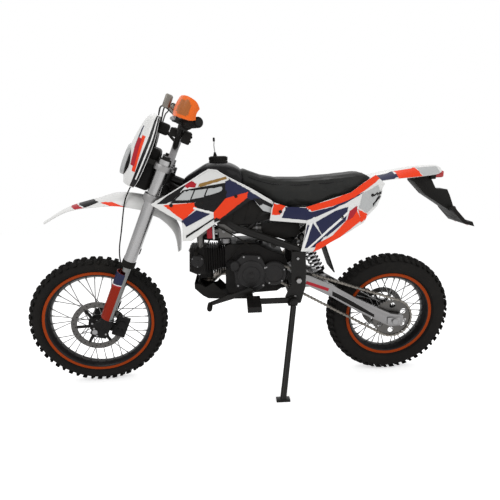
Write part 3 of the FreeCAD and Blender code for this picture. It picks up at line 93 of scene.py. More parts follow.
print("lean %.1f degrees, front axle at %s" % (lean, [round(v, 3) for v in FRONT.translation]))

# %% [markdown]
# ## Camera
# The camera stands where the photographer did: about 1.75 m away and 0.68 m above the floor,
# looking a little down. Its place was worked out from the two rims, which are circles of
# known size, so a wide 28 mm lens and this near distance give the same perspective.

# %% Camera from the fitted view
YAW, PITCH, ROLL = math.radians(2.11), math.radians(4.04), math.radians(-1.76)
FOCAL_PX, IMAGE_PX = 391.66, 500.0
EYE = Vector((0.592309, -1.751102, 0.678095))
FITTED_LEAN = math.radians(10.7)
fitted_axle = Vector((WHEELBASE, -REAR_AXLE_UP * math.sin(FITTED_LEAN), REAR_AXLE_UP * math.cos(FITTED_LEAN)))
eye = EYE + Vector(spin_rear["pos_m"]) - fitted_axle
forward = Vector((math.sin(YAW) * math.cos(PITCH), math.cos(YAW) * math.cos(PITCH), -math.sin(PITCH)))
level = Vector((math.cos(YAW), -math.sin(YAW), 0))
upward = level.cross(forward)
right = level * math.cos(ROLL) + upward * math.sin(ROLL)
up = upward * math.cos(ROLL) - level * math.sin(ROLL)
camera_data = bpy.data.cameras.new("Camera")
camera_data.sensor_width = 36.0
camera_data.lens = FOCAL_PX / IMAGE_PX * camera_data.sensor_width
camera = bpy.data.objects.new("Camera", camera_data)
bpy.context.scene.collection.objects.link(camera)
camera.matrix_world = Matrix.Translation(eye) @ Matrix((right, up, -forward)).transposed().to_4x4()
bpy.context.scene.camera = camera
print("camera at", [round(v, 3) for v in eye], "lens %.1f mm" % camera_data.lens)

# %% [markdown]
# ## Studio
# A catalogue picture has a seamless pale floor and soft light from all sides. The floor is
# one large plane that shows white to the camera and in reflections, while it keeps the
# contact shadow. Three wide area lamps and an even world light the motorcycle.

# %% View transform and node helpers
bpy.context.scene.view_settings.view_transform = "Standard"


def select_none():
    if bpy.context.mode != "OBJECT":
        bpy.ops.object.mode_set(mode="OBJECT")
    bpy.ops.object.select_all(action="DESELECT")


def node_of(tree, kind, **values):
    node = tree.nodes.new(kind)
    for key, value in values.items():
        setattr(node, key, value)
    return node


def feed(tree, socket, value):
    """Link an input to an output, or set it to a plain value."""
    if hasattr(value, "is_output"):
        tree.links.new(value, socket)
    else:
        socket.default_value = value


def math_node(tree, operation, *values):
    node = node_of(tree, "ShaderNodeMath", operation=operation)
    for socket, value in zip(node.inputs, values):
        feed(tree, socket, value)
    return node.outputs[0]


def is_seen(tree):
    """1 where a camera, mirror-like or refracted ray looks, so these see the plain backdrop."""
    path = node_of(tree, "ShaderNodeLightPath").outputs
    direct = math_node(tree, "MAXIMUM", path["Is Camera Ray"], path["Is Glossy Ray"])
    return math_node(tree, "MAXIMUM", direct, path["Is Transmission Ray"])


def background(tree, strength):
    node = node_of(tree, "ShaderNodeBackground")
    node.inputs["Color"].default_value = WHITE
    node.inputs["Strength"].default_value = strength
    return node.outputs[0]


# %% World and floor
WHITE = (1, 1, 1, 1)
PAPER = (0.86, 0.86, 0.86, 1)
WORLD_LIGHT, WORLD_SEEN = 0.55, 1.0
PAPER_SEEN, PAPER_GLOW = 0.42, 0.14
FLOOR_SIZE, FLOOR_BACK, FLOOR_SINK = 60.0, 10.0, 0.0005

world = bpy.data.worlds.new("Studio")
bpy.context.scene.world = world
world.use_nodes = True
tree = world.node_tree
tree.nodes.clear()
choose = node_of(tree, "ShaderNodeMixShader")
feed(tree, choose.inputs[0], is_seen(tree))
feed(tree, choose.inputs[1], background(tree, WORLD_LIGHT))
feed(tree, choose.inputs[2], background(tree, WORLD_SEEN))
feed(tree, node_of(tree, "ShaderNodeOutputWorld").inputs["Surface"], choose.outputs[0])

select_none()
bpy.ops.mesh.primitive_plane_add(size=FLOOR_SIZE, location=(0, FLOOR_BACK, -FLOOR_SINK))
floor = bpy.context.object
floor.name = "studio_floor"
paper = bpy.data.materials.new("studio_paper")
paper.use_nodes = True
tree = paper.node_tree
tree.nodes.clear()
diffuse = node_of(tree, "ShaderNodeBsdfDiffuse")
diffuse.inputs["Color"].default_value = PAPER
lift = node_of(tree, "ShaderNodeEmission")
lift.inputs["Color"].default_value = WHITE
feed(tree, lift.inputs["Strength"], math_node(tree, "MULTIPLY_ADD", is_seen(tree), PAPER_SEEN, PAPER_GLOW))
added = node_of(tree, "ShaderNodeAddShader")
feed(tree, added.inputs[0], diffuse.outputs[0])
feed(tree, added.inputs[1], lift.outputs[0])
feed(tree, node_of(tree, "ShaderNodeOutputMaterial").inputs["Surface"], added.outputs[0])
floor.data.materials.append(paper)
print("floor %.0f m across, world light %.2f" % (FLOOR_SIZE, WORLD_LIGHT))

# %% Lamps
LAMPS = (
    # name, place, target, size, watts
    ("key_lamp", (-1.6, -2.6, 2.6), (0, 0, 0.5), 2.2, 44.0),
    ("fill_lamp", (2.4, -2.2, 1.8), (0.2, 0, 0.5), 2.4, 26.0),
    ("top_lamp", (0.0, 0.8, 3.0), (0, 0, 0.4), 2.6, 34.0),
)
for name, place, target, size, watts in LAMPS:
    lamp_data = bpy.data.lights.new(name, "AREA")
    lamp_data.size = size
    lamp_data.energy = watts
    lamp = bpy.data.objects.new(name, lamp_data)
    bpy.context.scene.collection.objects.link(lamp)
    lamp.location = place
    lamp.rotation_euler = (Vector(target) - Vector(place)).to_track_quat("-Z", "Y").to_euler()
print("studio has", len(LAMPS), "lamps")

# %% [markdown]
# ## Shared surface effects
# Real surfaces are never one flat colour. Two effects are used by nearly every material, so
# each is a node group: one drifts the tone and gathers dust in broad patches, the other
# makes a fine height pattern, such as moulding grain, casting pits or vinyl leather.

# %% Helpers for node groups
def group_sockets(group, inputs, outputs):
    for label, kind, value in inputs:
        socket = group.interface.new_socket(label, in_out="INPUT", socket_type=kind)
        socket.default_value = value
    for label, kind in outputs:
        group.interface.new_socket(label, in_out="OUTPUT", socket_type=kind)


def mix_colour(tree, factor, first, second):
    """Blend of two colours; a Mix node keeps its colours in inputs 6 and 7 and output 2."""
    node = node_of(tree, "ShaderNodeMix", data_type="RGBA")
    for index, value in ((0, factor), (6, first), (7, second)):
        feed(tree, node.inputs[index], value)
    return node.outputs[2]


def noise_of(tree, where, scale, detail):
    noise = node_of(tree, "ShaderNodeTexNoise")
    noise.inputs["Detail"].default_value = detail
    feed(tree, noise.inputs["Vector"], where)
    feed(tree, noise.inputs["Scale"], scale)
    return noise.outputs["Fac"]


# %% Group for tone and dust
FINE_SCALE = 7.3
MOST_DUST = 0.9
ROUGH_SWING = 0.25
tone_group = bpy.data.node_groups.new("worn_tone", "ShaderNodeTree")
group_sockets(tone_group,
              (("Base", "NodeSocketColor", (0.5, 0.5, 0.5, 1)),
               ("Dust", "NodeSocketColor", (0.45, 0.38, 0.3, 1)),
               ("Scale", "NodeSocketFloat", 6.0), ("Drift", "NodeSocketFloat", 0.15),
               ("Dust Amount", "NodeSocketFloat", 0.1), ("Roughness", "NodeSocketFloat", 0.4)),
              (("Color", "NodeSocketColor"), ("Roughness", "NodeSocketFloat")))
enter = node_of(tone_group, "NodeGroupInput").outputs
leave = node_of(tone_group, "NodeGroupOutput").inputs
coords = node_of(tone_group, "ShaderNodeTexCoord").outputs["Object"]
broad = noise_of(tone_group, coords, enter["Scale"], 5.0)
fine = noise_of(tone_group, coords, math_node(tone_group, "MULTIPLY", enter["Scale"], FINE_SCALE), 8.0)
swing = math_node(tone_group, "MULTIPLY", math_node(tone_group, "SUBTRACT", broad, 0.5), enter["Drift"])
gain = math_node(tone_group, "MULTIPLY_ADD", swing, 2.0, 1.0)
bright = node_of(tone_group, "ShaderNodeVectorMath", operation="SCALE")
feed(tone_group, bright.inputs[0], enter["Base"])
feed(tone_group, bright.inputs["Scale"], gain)
mottle = math_node(tone_group, "MULTIPLY", fine, broad)
most = math_node(tone_group, "MULTIPLY", enter["Dust Amount"], 3.0)
dusty = math_node(tone_group, "MINIMUM", math_node(tone_group, "MULTIPLY", mottle, most), MOST_DUST)
feed(tone_group, leave["Color"], mix_colour(tone_group, dusty, bright.outputs[0], enter["Dust"]))
rough_swing = math_node(tone_group, "MULTIPLY", math_node(tone_group, "SUBTRACT", fine, 0.5), ROUGH_SWING)
feed(tone_group, leave["Roughness"], math_node(tone_group, "ADD", enter["Roughness"], rough_swing))
print(tone_group.name, "has", len(tone_group.nodes), "nodes")

# %% Group for fine height
grain_group = bpy.data.node_groups.new("fine_grain", "ShaderNodeTree")
group_sockets(grain_group,
              (("Scale", "NodeSocketFloat", 900.0), ("Stretch", "NodeSocketVector", (1, 1, 1)),
               ("Cells", "NodeSocketFloat", 0.0)),
              (("Height", "NodeSocketFloat"),))
enter = node_of(grain_group, "NodeGroupInput").outputs
leave = node_of(grain_group, "NodeGroupOutput").inputs
coords = node_of(grain_group, "ShaderNodeTexCoord").outputs["Object"]
stretched = node_of(grain_group, "ShaderNodeVectorMath", operation="MULTIPLY")
feed(grain_group, stretched.inputs[0], coords)
feed(grain_group, stretched.inputs[1], enter["Stretch"])
noise = noise_of(grain_group, stretched.outputs[0], enter["Scale"], 4.0)
cells = node_of(grain_group, "ShaderNodeTexVoronoi")
feed(grain_group, cells.inputs["Vector"], stretched.outputs[0])
feed(grain_group, cells.inputs["Scale"], enter["Scale"])
blend = node_of(grain_group, "ShaderNodeMix", data_type="FLOAT")
for index, value in ((0, enter["Cells"]), (2, noise), (3, cells.outputs["Distance"])):
    feed(grain_group, blend.inputs[index], value)
feed(grain_group, leave["Height"], blend.outputs[0])
print("node groups:", [group.name for group in bpy.data.node_groups])

# %% [markdown]
# ## Finishes
# Each finish is the same short recipe with its own numbers: a base colour and roughness with
# drift and dust, a metal share, a clear coat and a fine grain of a given size and depth.
# Gloss, coat and the other constants stay on the shader itself.

# %% Material recipe
def finish(name, colour, rough, metal=0.0, coat=0.0, grain=900.0, depth=0.00002, stretch=(1, 1, 1),
           cells=0.0, drift=0.15, dust=0.06, tone=6.0, gloss=0.32):
    """Material whose tone and grain come from the groups, and whose constants stay on the shader."""
    material = bpy.data.materials.new(name)
    material.use_nodes = True
    tree = material.node_tree
    shader = tree.nodes["Principled BSDF"]
    for label, value in (("Metallic", metal), ("Coat Weight", coat), ("Coat Roughness", COAT_ROUGH),
                         ("Specular IOR Level", gloss)):
        shader.inputs[label].default_value = value
    worn = node_of(tree, "ShaderNodeGroup", node_tree=tone_group)
    for label, value in (("Base", (*colour, 1)), ("Scale", tone), ("Drift", drift), ("Dust Amount", dust),
                         ("Roughness", rough)):
        worn.inputs[label].default_value = value
    grainy = node_of(tree, "ShaderNodeGroup", node_tree=grain_group)
    for label, value in (("Scale", grain), ("Stretch", stretch), ("Cells", cells)):
        grainy.inputs[label].default_value = value
    bump = node_of(tree, "ShaderNodeBump")
    bump.inputs["Distance"].default_value = depth
    feed(tree, bump.inputs["Height"], grainy.outputs["Height"])
    feed(tree, shader.inputs["Base Color"], worn.outputs["Color"])
    feed(tree, shader.inputs["Roughness"], worn.outputs["Roughness"])
    feed(tree, shader.inputs["Normal"], bump.outputs["Normal"])
    return material


# %% Table of finishes
COAT_ROUGH = 0.08
FINISHES = {
    # name: colour, roughness and what differs from the recipe
    "tyre_rubber": dict(colour=(0.008, 0.008, 0.008), rough=0.82, grain=700, depth=0.00012,
                        dust=0.012, gloss=0.06),
    "black_paint": dict(colour=(0.005, 0.005, 0.005), rough=0.34, coat=0.06, grain=1500,
                        dust=0.01, gloss=0.11),
    "rim_black": dict(colour=(0.006, 0.006, 0.007), rough=0.3, coat=0.04, dust=0.01, gloss=0.11),
    "orange_paint": dict(colour=(0.29, 0.036, 0.001), rough=0.4, drift=0.1, dust=0.0, gloss=0.1),
    "spoke_steel": dict(colour=(0.17, 0.17, 0.17), rough=0.25, metal=1.0, dust=0.02),
    "cast_black": dict(colour=(0.005, 0.005, 0.0055), rough=0.52, grain=1100, depth=0.00006,
                       dust=0.015, gloss=0.09),
    "disc_steel": dict(colour=(0.22, 0.22, 0.22), rough=0.32, metal=1.0, stretch=(1, 12, 1), grain=400),
    "disc_dark": dict(colour=(0.07, 0.07, 0.07), rough=0.34, metal=1.0, stretch=(1, 12, 1), grain=400),
    "chain_steel": dict(colour=(0.16, 0.15, 0.135), rough=0.42, metal=1.0, drift=0.3),
    "zinc_steel": dict(colour=(0.24, 0.24, 0.245), rough=0.34, metal=1.0),
    "fork_silver": dict(colour=(0.30, 0.30, 0.305), rough=0.26, metal=1.0, stretch=(1, 1, 0.05), grain=900),
    "slider_chrome": dict(colour=(0.15, 0.155, 0.155), rough=0.12, metal=1.0),
    "clamp_alloy": dict(colour=(0.22, 0.22, 0.225), rough=0.42, metal=1.0, grain=1300, depth=0.00005),
    "white_plastic": dict(colour=(0.66, 0.66, 0.65), rough=0.3, coat=0.12, drift=0.05, dust=0.03),
    "orange_plastic": dict(colour=(0.76, 0.125, 0.006), rough=0.4, coat=0.02, drift=0.1, dust=0.02,
                           grain=1200, depth=0.00006, gloss=0.2),
    "red_orange": dict(colour=(0.74, 0.040, 0.005), rough=0.34, coat=0.03, drift=0.08,
                       dust=0.012, gloss=0.16),
    "guard_red": dict(colour=(0.23, 0.013, 0.003), rough=0.36, drift=0.14, dust=0.0, gloss=0.1),
    "dark_red": dict(colour=(0.36, 0.010, 0.020), rough=0.34, coat=0.03, drift=0.08, dust=0.01, gloss=0.16),
    "navy": dict(colour=(0.012, 0.015, 0.050), rough=0.34, coat=0.04, drift=0.12, dust=0.01, gloss=0.12),
    "gold_brown": dict(colour=(0.24, 0.13, 0.025), rough=0.34, coat=0.08, drift=0.1, dust=0.012),
    "black_gloss": dict(colour=(0.005, 0.005, 0.006), rough=0.28, coat=0.05, dust=0.008, gloss=0.1),
    "black_plastic": dict(colour=(0.005, 0.005, 0.005), rough=0.5, grain=1600, depth=0.00004,
                          dust=0.012, gloss=0.08),
    "rubber_black": dict(colour=(0.005, 0.005, 0.005), rough=0.68, grain=1200, depth=0.00006,
                         dust=0.015, gloss=0.07),
    "seat_vinyl": dict(colour=(0.009, 0.010, 0.010), rough=0.55, grain=420, depth=0.00014, cells=1.0,
                       dust=0.015, gloss=0.16),
    "exhaust_steel": dict(colour=(0.15, 0.135, 0.12), rough=0.34, metal=1.0, drift=0.5, tone=9.0),
    "silencer_alloy": dict(colour=(0.34, 0.34, 0.35), rough=0.3, metal=1.0, stretch=(0.08, 1, 1), grain=700),
    "arm_silver": dict(colour=(0.20, 0.20, 0.205), rough=0.3, metal=1.0, stretch=(0.1, 1, 1), grain=800),
    "carb_alloy": dict(colour=(0.15, 0.15, 0.155), rough=0.45, metal=1.0, grain=1300, depth=0.00005),
    "cover_black": dict(colour=(0.010, 0.010, 0.011), rough=0.4, grain=1300, depth=0.00004, coat=0.02,
                        dust=0.015, gloss=0.13),
    "spring_silver": dict(colour=(0.52, 0.52, 0.53), rough=0.28, metal=1.0, dust=0.03),
    "white_line": dict(colour=(0.72, 0.72, 0.71), rough=0.35, coat=0.1, drift=0.03, dust=0.02),
    "pale_grey": dict(colour=(0.40, 0.41, 0.41), rough=0.34, coat=0.1, drift=0.06, dust=0.02),
    "amber_dark": dict(colour=(0.34, 0.10, 0.02), rough=0.42, coat=0.05, drift=0.08, dust=0.02, gloss=0.2),
    "clear_lens": dict(colour=(0.44, 0.46, 0.47), rough=0.1, metal=0.25, coat=0.4, drift=0.03, dust=0.02,
                       grain=260, depth=0.0001, stretch=(1, 6, 1)),
    "red_lens": dict(colour=(0.36, 0.005, 0.007), rough=0.12, coat=0.3, dust=0.01),
    "amber_lens": dict(colour=(0.75, 0.22, 0.01), rough=0.12, coat=0.3, dust=0.02),
    "spring_steel": dict(colour=(0.28, 0.28, 0.29), rough=0.3, metal=0.6),
}
M = {name: finish(name, **values) for name, values in FINISHES.items()}
print(len(M), "finishes")

# %% [markdown]
# ## First coat
# Every CAD node gets its finish before any finer piece is made, so nothing shows bare.

# %% Finish of each CAD node
COATED = {
    # finish: the nodes that get it
    "tyre_rubber": ("front_tyre", "rear_tyre"),
    "rim_black": ("front_rim", "rear_rim"),
    "spoke_steel": ("front_spokes", "rear_spokes"),
    "cast_black": ("front_hub", "rear_hub", "front_caliper", "rear_caliper", "crankcase", "engine_covers",
                   "cylinder"),
    "disc_steel": ("front_brake_disc", "rear_brake_disc"),
    "disc_dark": ("rear_sprocket", "carburettor"),
    "chain_steel": ("drive_chain",),
    "zinc_steel": ("front_axle", "rear_axle"),
    "fork_silver": ("fork_legs",),
    "red_orange": ("fork_guards",),
    "clamp_alloy": ("triple_clamps",),
    "white_plastic": ("front_fender", "headlamp_mask", "shrouds", "side_panels", "rear_fender"),
    "black_paint": ("handlebar", "levers", "main_frame", "subframe", "foot_pegs",
                    "foot_levers", "side_stand"),
    "orange_plastic": ("hand_guards",),
    "rubber_black": ("grips", "mud_flap", "control_cables"),
    "black_plastic": ("headlamp", "airbox", "skid_plate", "fuel_cap", "plate_holder"),
    "exhaust_steel": ("exhaust_header",),
    "silencer_alloy": ("silencer",),
    "black_gloss": ("fuel_tank",),
    "seat_vinyl": ("seat",),
    "red_lens": ("tail_lamp",),
    "arm_silver": ("swingarm",),
    "spring_steel": ("shock_absorber",),
}


def coat(thing, finish_name):
    """The finish becomes the only material of a mesh."""
    thing.data.materials.clear()
    thing.data.materials.append(M[finish_name])


uncoated = set(NODES)
for finish_name, node_names in COATED.items():
    for node_name in node_names:
        coat(NODES[node_name], finish_name)
        uncoated.remove(node_name)
print("uncoated:", sorted(uncoated))

# %% [markdown]
# ## How a finer piece is made and handed over
# Each finer piece starts as a primitive in the upright coordinates of its group, is shaped in
# edit mode and finished with modifiers. At the end it is smoothed, coated, moved to the parked
# pose, and told which body it rides on and which CAD node it stands for.

# %% Helpers to start and shape a piece
MM = 0.001


def only(thing):
    """Make a piece the only selected and the active one."""
    select_none()
    thing.select_set(True)
    bpy.context.view_layer.objects.active = thing


def start(kind, **options):
    """A new primitive, with its place in its mesh."""
    select_none()
    getattr(bpy.ops.mesh, "primitive_%s_add" % kind)(**options)
    bpy.ops.object.transform_apply()
    return bpy.context.object


def apply_modifier(thing, kind, **values):
    only(thing)
    modifier = thing.modifiers.new(kind.title(), kind)
    for key, value in values.items():
        setattr(modifier, key, value)
    bpy.ops.object.modifier_apply(modifier=modifier.name)
    return thing


def bevelled(thing, width, segments=2, angle=30):
    return apply_modifier(thing, "BEVEL", width=width, segments=segments, limit_method="ANGLE",
                          angle_limit=math.radians(angle))


def edit_all(thing, *steps):
    """Run mesh operators, each a name and its options, on everything in edit mode."""
    only(thing)
    bpy.ops.object.mode_set(mode="EDIT")
    for step, options in steps:
        bpy.ops.mesh.select_all(action="SELECT")
        getattr(bpy.ops.mesh, step)(**options)
    bpy.ops.object.mode_set(mode="OBJECT")
    return thing


def clean(thing, gap=0.00001):
    """Merge doubles and point the faces outwards."""
    return edit_all(thing, ("remove_doubles", dict(threshold=gap)),
                    ("normals_make_consistent", dict(inside=False)))


# %% Helpers to copy and join pieces
def copy_of(thing, matrix):
    """Copy with its own mesh, moved by a matrix; a mirrored one keeps its faces outwards."""
    twin = thing.copy()
    twin.data = thing.data.copy()
    bpy.context.scene.collection.objects.link(twin)
    twin.data.transform(matrix)
    if matrix.determinant() < 0:
        twin.data.flip_normals()
    return twin


def repeated(thing, matrices):
    """One object with a copy of the piece at each matrix; the model piece itself goes."""
    twins = [copy_of(thing, matrix) for matrix in matrices]
    bpy.data.objects.remove(thing)
    return joined(twins)


def joined(things):
    select_none()
    for thing in things:
        thing.select_set(True)
    bpy.context.view_layer.objects.active = things[0]
    bpy.ops.object.join()
    return things[0]


MIRROR = Matrix.Diagonal((1, -1, 1, 1))
STILL = Matrix.Identity(4)
SIDES = (STILL, MIRROR)


def both_sides(thing):
    return joined([thing, copy_of(thing, MIRROR)])


# %% Helpers for spun pieces
def around(count, offset=0.0):
    """Even turns about y, the axle's direction."""
    return [Matrix.Rotation(math.tau * (index + offset) / count, 4, "Y") for index in range(count)]


def turned(section, steps=64):
    """Solid of revolution about y: the section's (y, radius) corners, in mm, are spun once round."""
    thing = start("circle", vertices=len(section), radius=1.0, fill_type="NOTHING")
    for vertex, (y, radius) in zip(thing.data.vertices, section):
        vertex.co = (radius * MM, y * MM, 0)
    edit_all(thing, ("spin", dict(steps=steps, angle=math.tau, center=(0, 0, 0), axis=(0, 1, 0))))
    return clean(thing)


# %% Helper to hand a piece over
def settle(thing, name, finish_name, slot, body, *nodes, angle=35, parked=False):
    """Smooth, park, name and coat a piece, and say what it rides on and which nodes it replaces."""
    only(thing)
    bpy.ops.object.shade_smooth_by_angle(angle=math.radians(angle))
    if not parked:
        thing.data.transform(UPRIGHT[body])
    thing.name = name
    thing.data.name = name
    coat(thing, finish_name)
    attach(thing, body)
    if nodes:
        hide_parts(*nodes)
    print(name, len(thing.data.polygons), "faces")


# %% [markdown]
# ## Knobbly tyres
# An off-road tyre is a round carcass with rows of rubber blocks. The carcass is one section
# spun about the axle. A block is a cube whose tip is drawn in and whose edges are bevelled,
# then copied round the wheel: pairs on the crown, pairs on the shoulders half a step on, and
# lower blocks in the gaps between them.

# %% Carcass and blocks of both tyres
LUG_ROWS = 27
LUG_BEVEL = 0.0011
TYRES = {
    # wheel: tip radius, drop at the shoulder, crown arc, shoulder, widest, bead radius, rim half
    "front": (286.0, 15.5, 45.0, 34.0, 38.0, 217.0, 28.0),
    "rear": (268.0, 17.2, 60.0, 42.0, 46.0, 177.0, 33.0),
}


def block(y_low, y_high, length, root, tip_of, taper=0.0016):
    """One rubber block that points down from the axle, its tip following the crown."""
    lug = start("cube", size=1.0)
    edit_all(lug, ("subdivide", dict(number_cuts=1)))
    for vertex in lug.data.vertices:
        at_root, at_tip = vertex.co.z > 0.1, vertex.co.z < -0.1
        inset = taper if at_tip else 0.0
        y = (y_low + y_high) / 2 + vertex.co.y * ((y_high - y_low) - 2 * inset)
        x = vertex.co.x * (length - 2 * inset)
        depth = (root + tip_of(y)) / 2
        if at_root:
            depth = root
        if at_tip:
            depth = tip_of(y)
        vertex.co = (x, y, -depth)
    return bevelled(lug, LUG_BEVEL, 1, 40)


for end, (tip, drop, crown, edge, wide, bead, rim_half) in TYRES.items():
    shoulder = tip - drop - 10.0
    centre = shoulder - math.sqrt(crown ** 2 - edge ** 2)
    section = [(-rim_half + 4, bead), (-rim_half + 3, bead + 12), (-rim_half - 1, bead + 13)]
    section += [(-wide + 2.5, bead + 19), (-wide, bead + 27), (-wide, bead + 36), (-edge - 1.5, shoulder - 3)]
    for share in range(-6, 7):
        y = edge * share / 6
        section.append((y, centre + math.sqrt(crown ** 2 - y ** 2)))
    section += [(-y, radius) for y, radius in reversed(section[:7])]
    section += [(9, bead - 8.5), (-9, bead - 8.5)]
    carcass = turned(section, 108)

    def crown_tip(y, tip=tip, arc=crown + 10.0):
        return (tip - arc) * MM + math.sqrt((arc * MM) ** 2 - min(abs(y), arc * MM * 0.99) ** 2)

    half = edge * 0.41
    near = edge * 0.56
    far = edge * 1.14
    even, odd = around(LUG_ROWS), around(LUG_ROWS, 0.5)
    lug_rows = (
        # from and to across the crown, length, places round the wheel
        (0.9, half, 18.0, even),
        (near, far, 18.0, odd),
        (3.0, near - 3.0, 13.0, odd),
        (near + 6.0, far - 1.5, 11.0, even),
    )
    rows = []
    for low, high, long, places in lug_rows:
        sink = 19.0 if high > near else 14.0
        lug = block(low * MM, high * MM, long * MM, (tip - sink) * MM, crown_tip)
        rows.append(repeated(lug, [place @ side for place in places for side in SIDES]))
    tyre = joined([carcass] + rows)
    settle(tyre, end + "_knobbly_tyre", "tyre_rubber", "tyre_rubber", end + "_wheel", end + "_tyre", angle=30)

# %% [markdown]
# ## Rims, spoke nipples and hubs
# The alloy rims are black with a bright orange band on each side wall. A rim is a section
# spun about the axle with its edges rolled, the band is a thin ring laid on its wall, and
# every spoke ends in a small nipple. The hub gets rounded flanges and its bolt heads.

# %% Rims with bands, nipples, hubs and bolts
SPOKES = 36
SPOKE_LEAN = math.radians(38.0)
HUB_FLANGE_R, HUB_FLANGE_Y = 40, 36
DISC_BOLTS = 6
RIMS = {
    # wheel: inner, well, bead and flange radius, half width
    "front": (200.0, 208.0, 217.0, 229.0, 28.0),
    "rear": (160.0, 168.0, 177.0, 190.0, 33.0),
}
for end, (inner, well, bead, flange, half) in RIMS.items():
    side = [(9, inner), (12, inner + 0.5), (half - 7, bead - 9), (half - 1.5, bead - 6), (half, bead - 4),
            (half, flange - 1), (half - 1, flange), (half - 2.4, flange - 0.6), (half - 3, flange - 2),
            (half - 3.4, bead + 2), (half - 5, bead), (half - 9, bead - 1), (12, well + 0.5), (9, well)]
    section = side + [(-y, radius) for y, radius in reversed(side)]
    rim = turned(section, 96)
    settle(rim, end + "_rim_profile", "rim_black", "black_alloy", end + "_wheel", end + "_rim")
    band = turned([(half, bead - 0.6), (half + 0.7, bead - 0.1), (half + 0.7, flange - 1.6),
                   (half, flange - 1.0)], 96)
    settle(both_sides(band), end + "_rim_band", "orange_paint", "orange_plastic", end + "_wheel")

    nipple = turned([(0, 0), (0, 3.6), (4, 3.6), (5, 2.8), (14, 2.6), (15, 1.8), (15, 0)], 10)
    places = []
    for index in range(SPOKES):
        sign = 1 if index % 2 else -1
        lean_way = 1 if index % 4 < 2 else -1
        at = math.tau * index / SPOKES
        hub_at = at + lean_way * SPOKE_LEAN
        foot = Vector((HUB_FLANGE_R * math.cos(hub_at), sign * (HUB_FLANGE_Y + lean_way),
                       HUB_FLANGE_R * math.sin(hub_at))) * MM
        head = Vector((inner * math.cos(at), sign * 3, inner * math.sin(at))) * MM
        places.append(axes_matrix(head, foot - head, (0, 1, 0.01)))
    settle(repeated(nipple, places), end + "_spoke_nipples", "spoke_steel", "spoke_steel", end + "_wheel")

    side = [(0, 20), (24, 20), (30, 24), (33, 30), (33, 41), (34, 42), (38, 42), (39, 41), (39.5, 33),
            (41, 30.5), (51, 30), (52, 29), (52, 7.7)]
    section = side + [(-y, radius) for y, radius in reversed(side[1:])]
    hub = turned(section, 48)
    settle(hub, end + "_hub_casting", "cast_black", "hub_alloy", end + "_wheel", end + "_hub")
    disc_side = -1 if end == "front" else 1
    bolt = bevelled(start("cylinder", vertices=6, radius=0.005, depth=0.005), 0.0006, 1)
    bolt.data.transform(Matrix.Rotation(math.radians(90), 4, "X"))
    bolt_spot = Matrix.Translation((0.024, disc_side * 0.0565, 0))
    places = [turn @ bolt_spot for turn in around(DISC_BOLTS, 0.5)]
    settle(repeated(bolt, places), end + "_disc_bolts", "zinc_steel", "axle_steel", end + "_wheel")

# %% [markdown]
# ## Brake discs
# A motorcycle disc is a ground steel ring, drilled for cooling and held by a dark spider.
# The ring is a spun section, the spider a spun boss with a bevelled arm copied six times, and
# each drilling is a short dark plug set through the ring.

# %% Disc rings, spiders and drillings
SPIDER_ARMS = 6
DRILLINGS = 36
DISCS = {
    # wheel: outer and inner radius, left and right face
    "front": (107, 83, -55.5, -52),
    "rear": (95, 72, 52, 55.5),
}
for end, (outer, inner, low, high) in DISCS.items():
    ring = turned([(low, inner), (low, outer - 0.6), (low + 0.6, outer), (high - 0.6, outer),
                   (high, outer - 0.6), (high, inner)], 72)
    settle(ring, end + "_disc_ring", "disc_dark", "disc_steel", end + "_wheel", end + "_brake_disc")
    arm = start("cube", size=1.0)
    arm_spot = Matrix.Translation(Vector((55, (low + high) / 2, 0)) * MM)
    arm.data.transform(arm_spot @ Matrix.Diagonal((0.062, 0.0036, 0.013, 1)))
    bevelled(arm, 0.0012, 2)
    arms = repeated(arm, around(SPIDER_ARMS))
    boss = turned([(low - 0.2, 21), (low - 0.2, 34.5), (high + 0.2, 34.5), (high + 0.2, 21)], 40)
    settle(joined([boss, arms]), end + "_disc_spider", "cast_black", "hub_alloy", end + "_wheel")
    plug = turned([(low - 0.1, 0), (low - 0.1, 2.8), (high + 0.1, 2.8), (high + 0.1, 0)], 10)
    places = []
    for index, turn in enumerate(around(DRILLINGS)):
        radius = inner + (outer - inner) * (0.27 + 0.23 * (index % 3))
        places.append(turn @ Matrix.Translation((radius * MM, 0, 0)))
    settle(repeated(plug, places), end + "_disc_drillings", "black_gloss", "disc_steel", end + "_wheel")

# %% [markdown]
# ## Drive chain
# A roller chain is a row of rollers joined in turn by inner and outer plates. One plate is a
# cube with rounded ends and a drawn-in waist. The route is the belt line round the two
# sprockets, walked in steps of one pitch, and a pair of plates and a roller go at each step.

# %% Route of the chain
CHAIN_LINKS = 92
FRONT_SPROCKET = Vector((0.750, -0.0645, 0.497))
REAR_SPROCKET = Vector((WHEELBASE, -0.0645, REAR_AXLE_UP))
FRONT_PITCH_R, REAR_PITCH_R = 0.0305, 0.083
along = REAR_SPROCKET - FRONT_SPROCKET
reach = along.length
along.normalize()
across = Vector((-along.z, 0, along.x))
tilt = math.asin((REAR_PITCH_R - FRONT_PITCH_R) / reach)
run = math.sqrt(reach ** 2 - (REAR_PITCH_R - FRONT_PITCH_R) ** 2)
rear_wrap = math.pi + 2 * tilt
front_wrap = math.pi - 2 * tilt
loop = 2 * run + REAR_PITCH_R * rear_wrap + FRONT_PITCH_R * front_wrap
pitch = loop / CHAIN_LINKS
print("chain pitch %.2f mm" % (pitch * 1000))


def on_circle(centre, radius, angle):
    return centre + (along * math.cos(angle) + across * math.sin(angle)) * radius


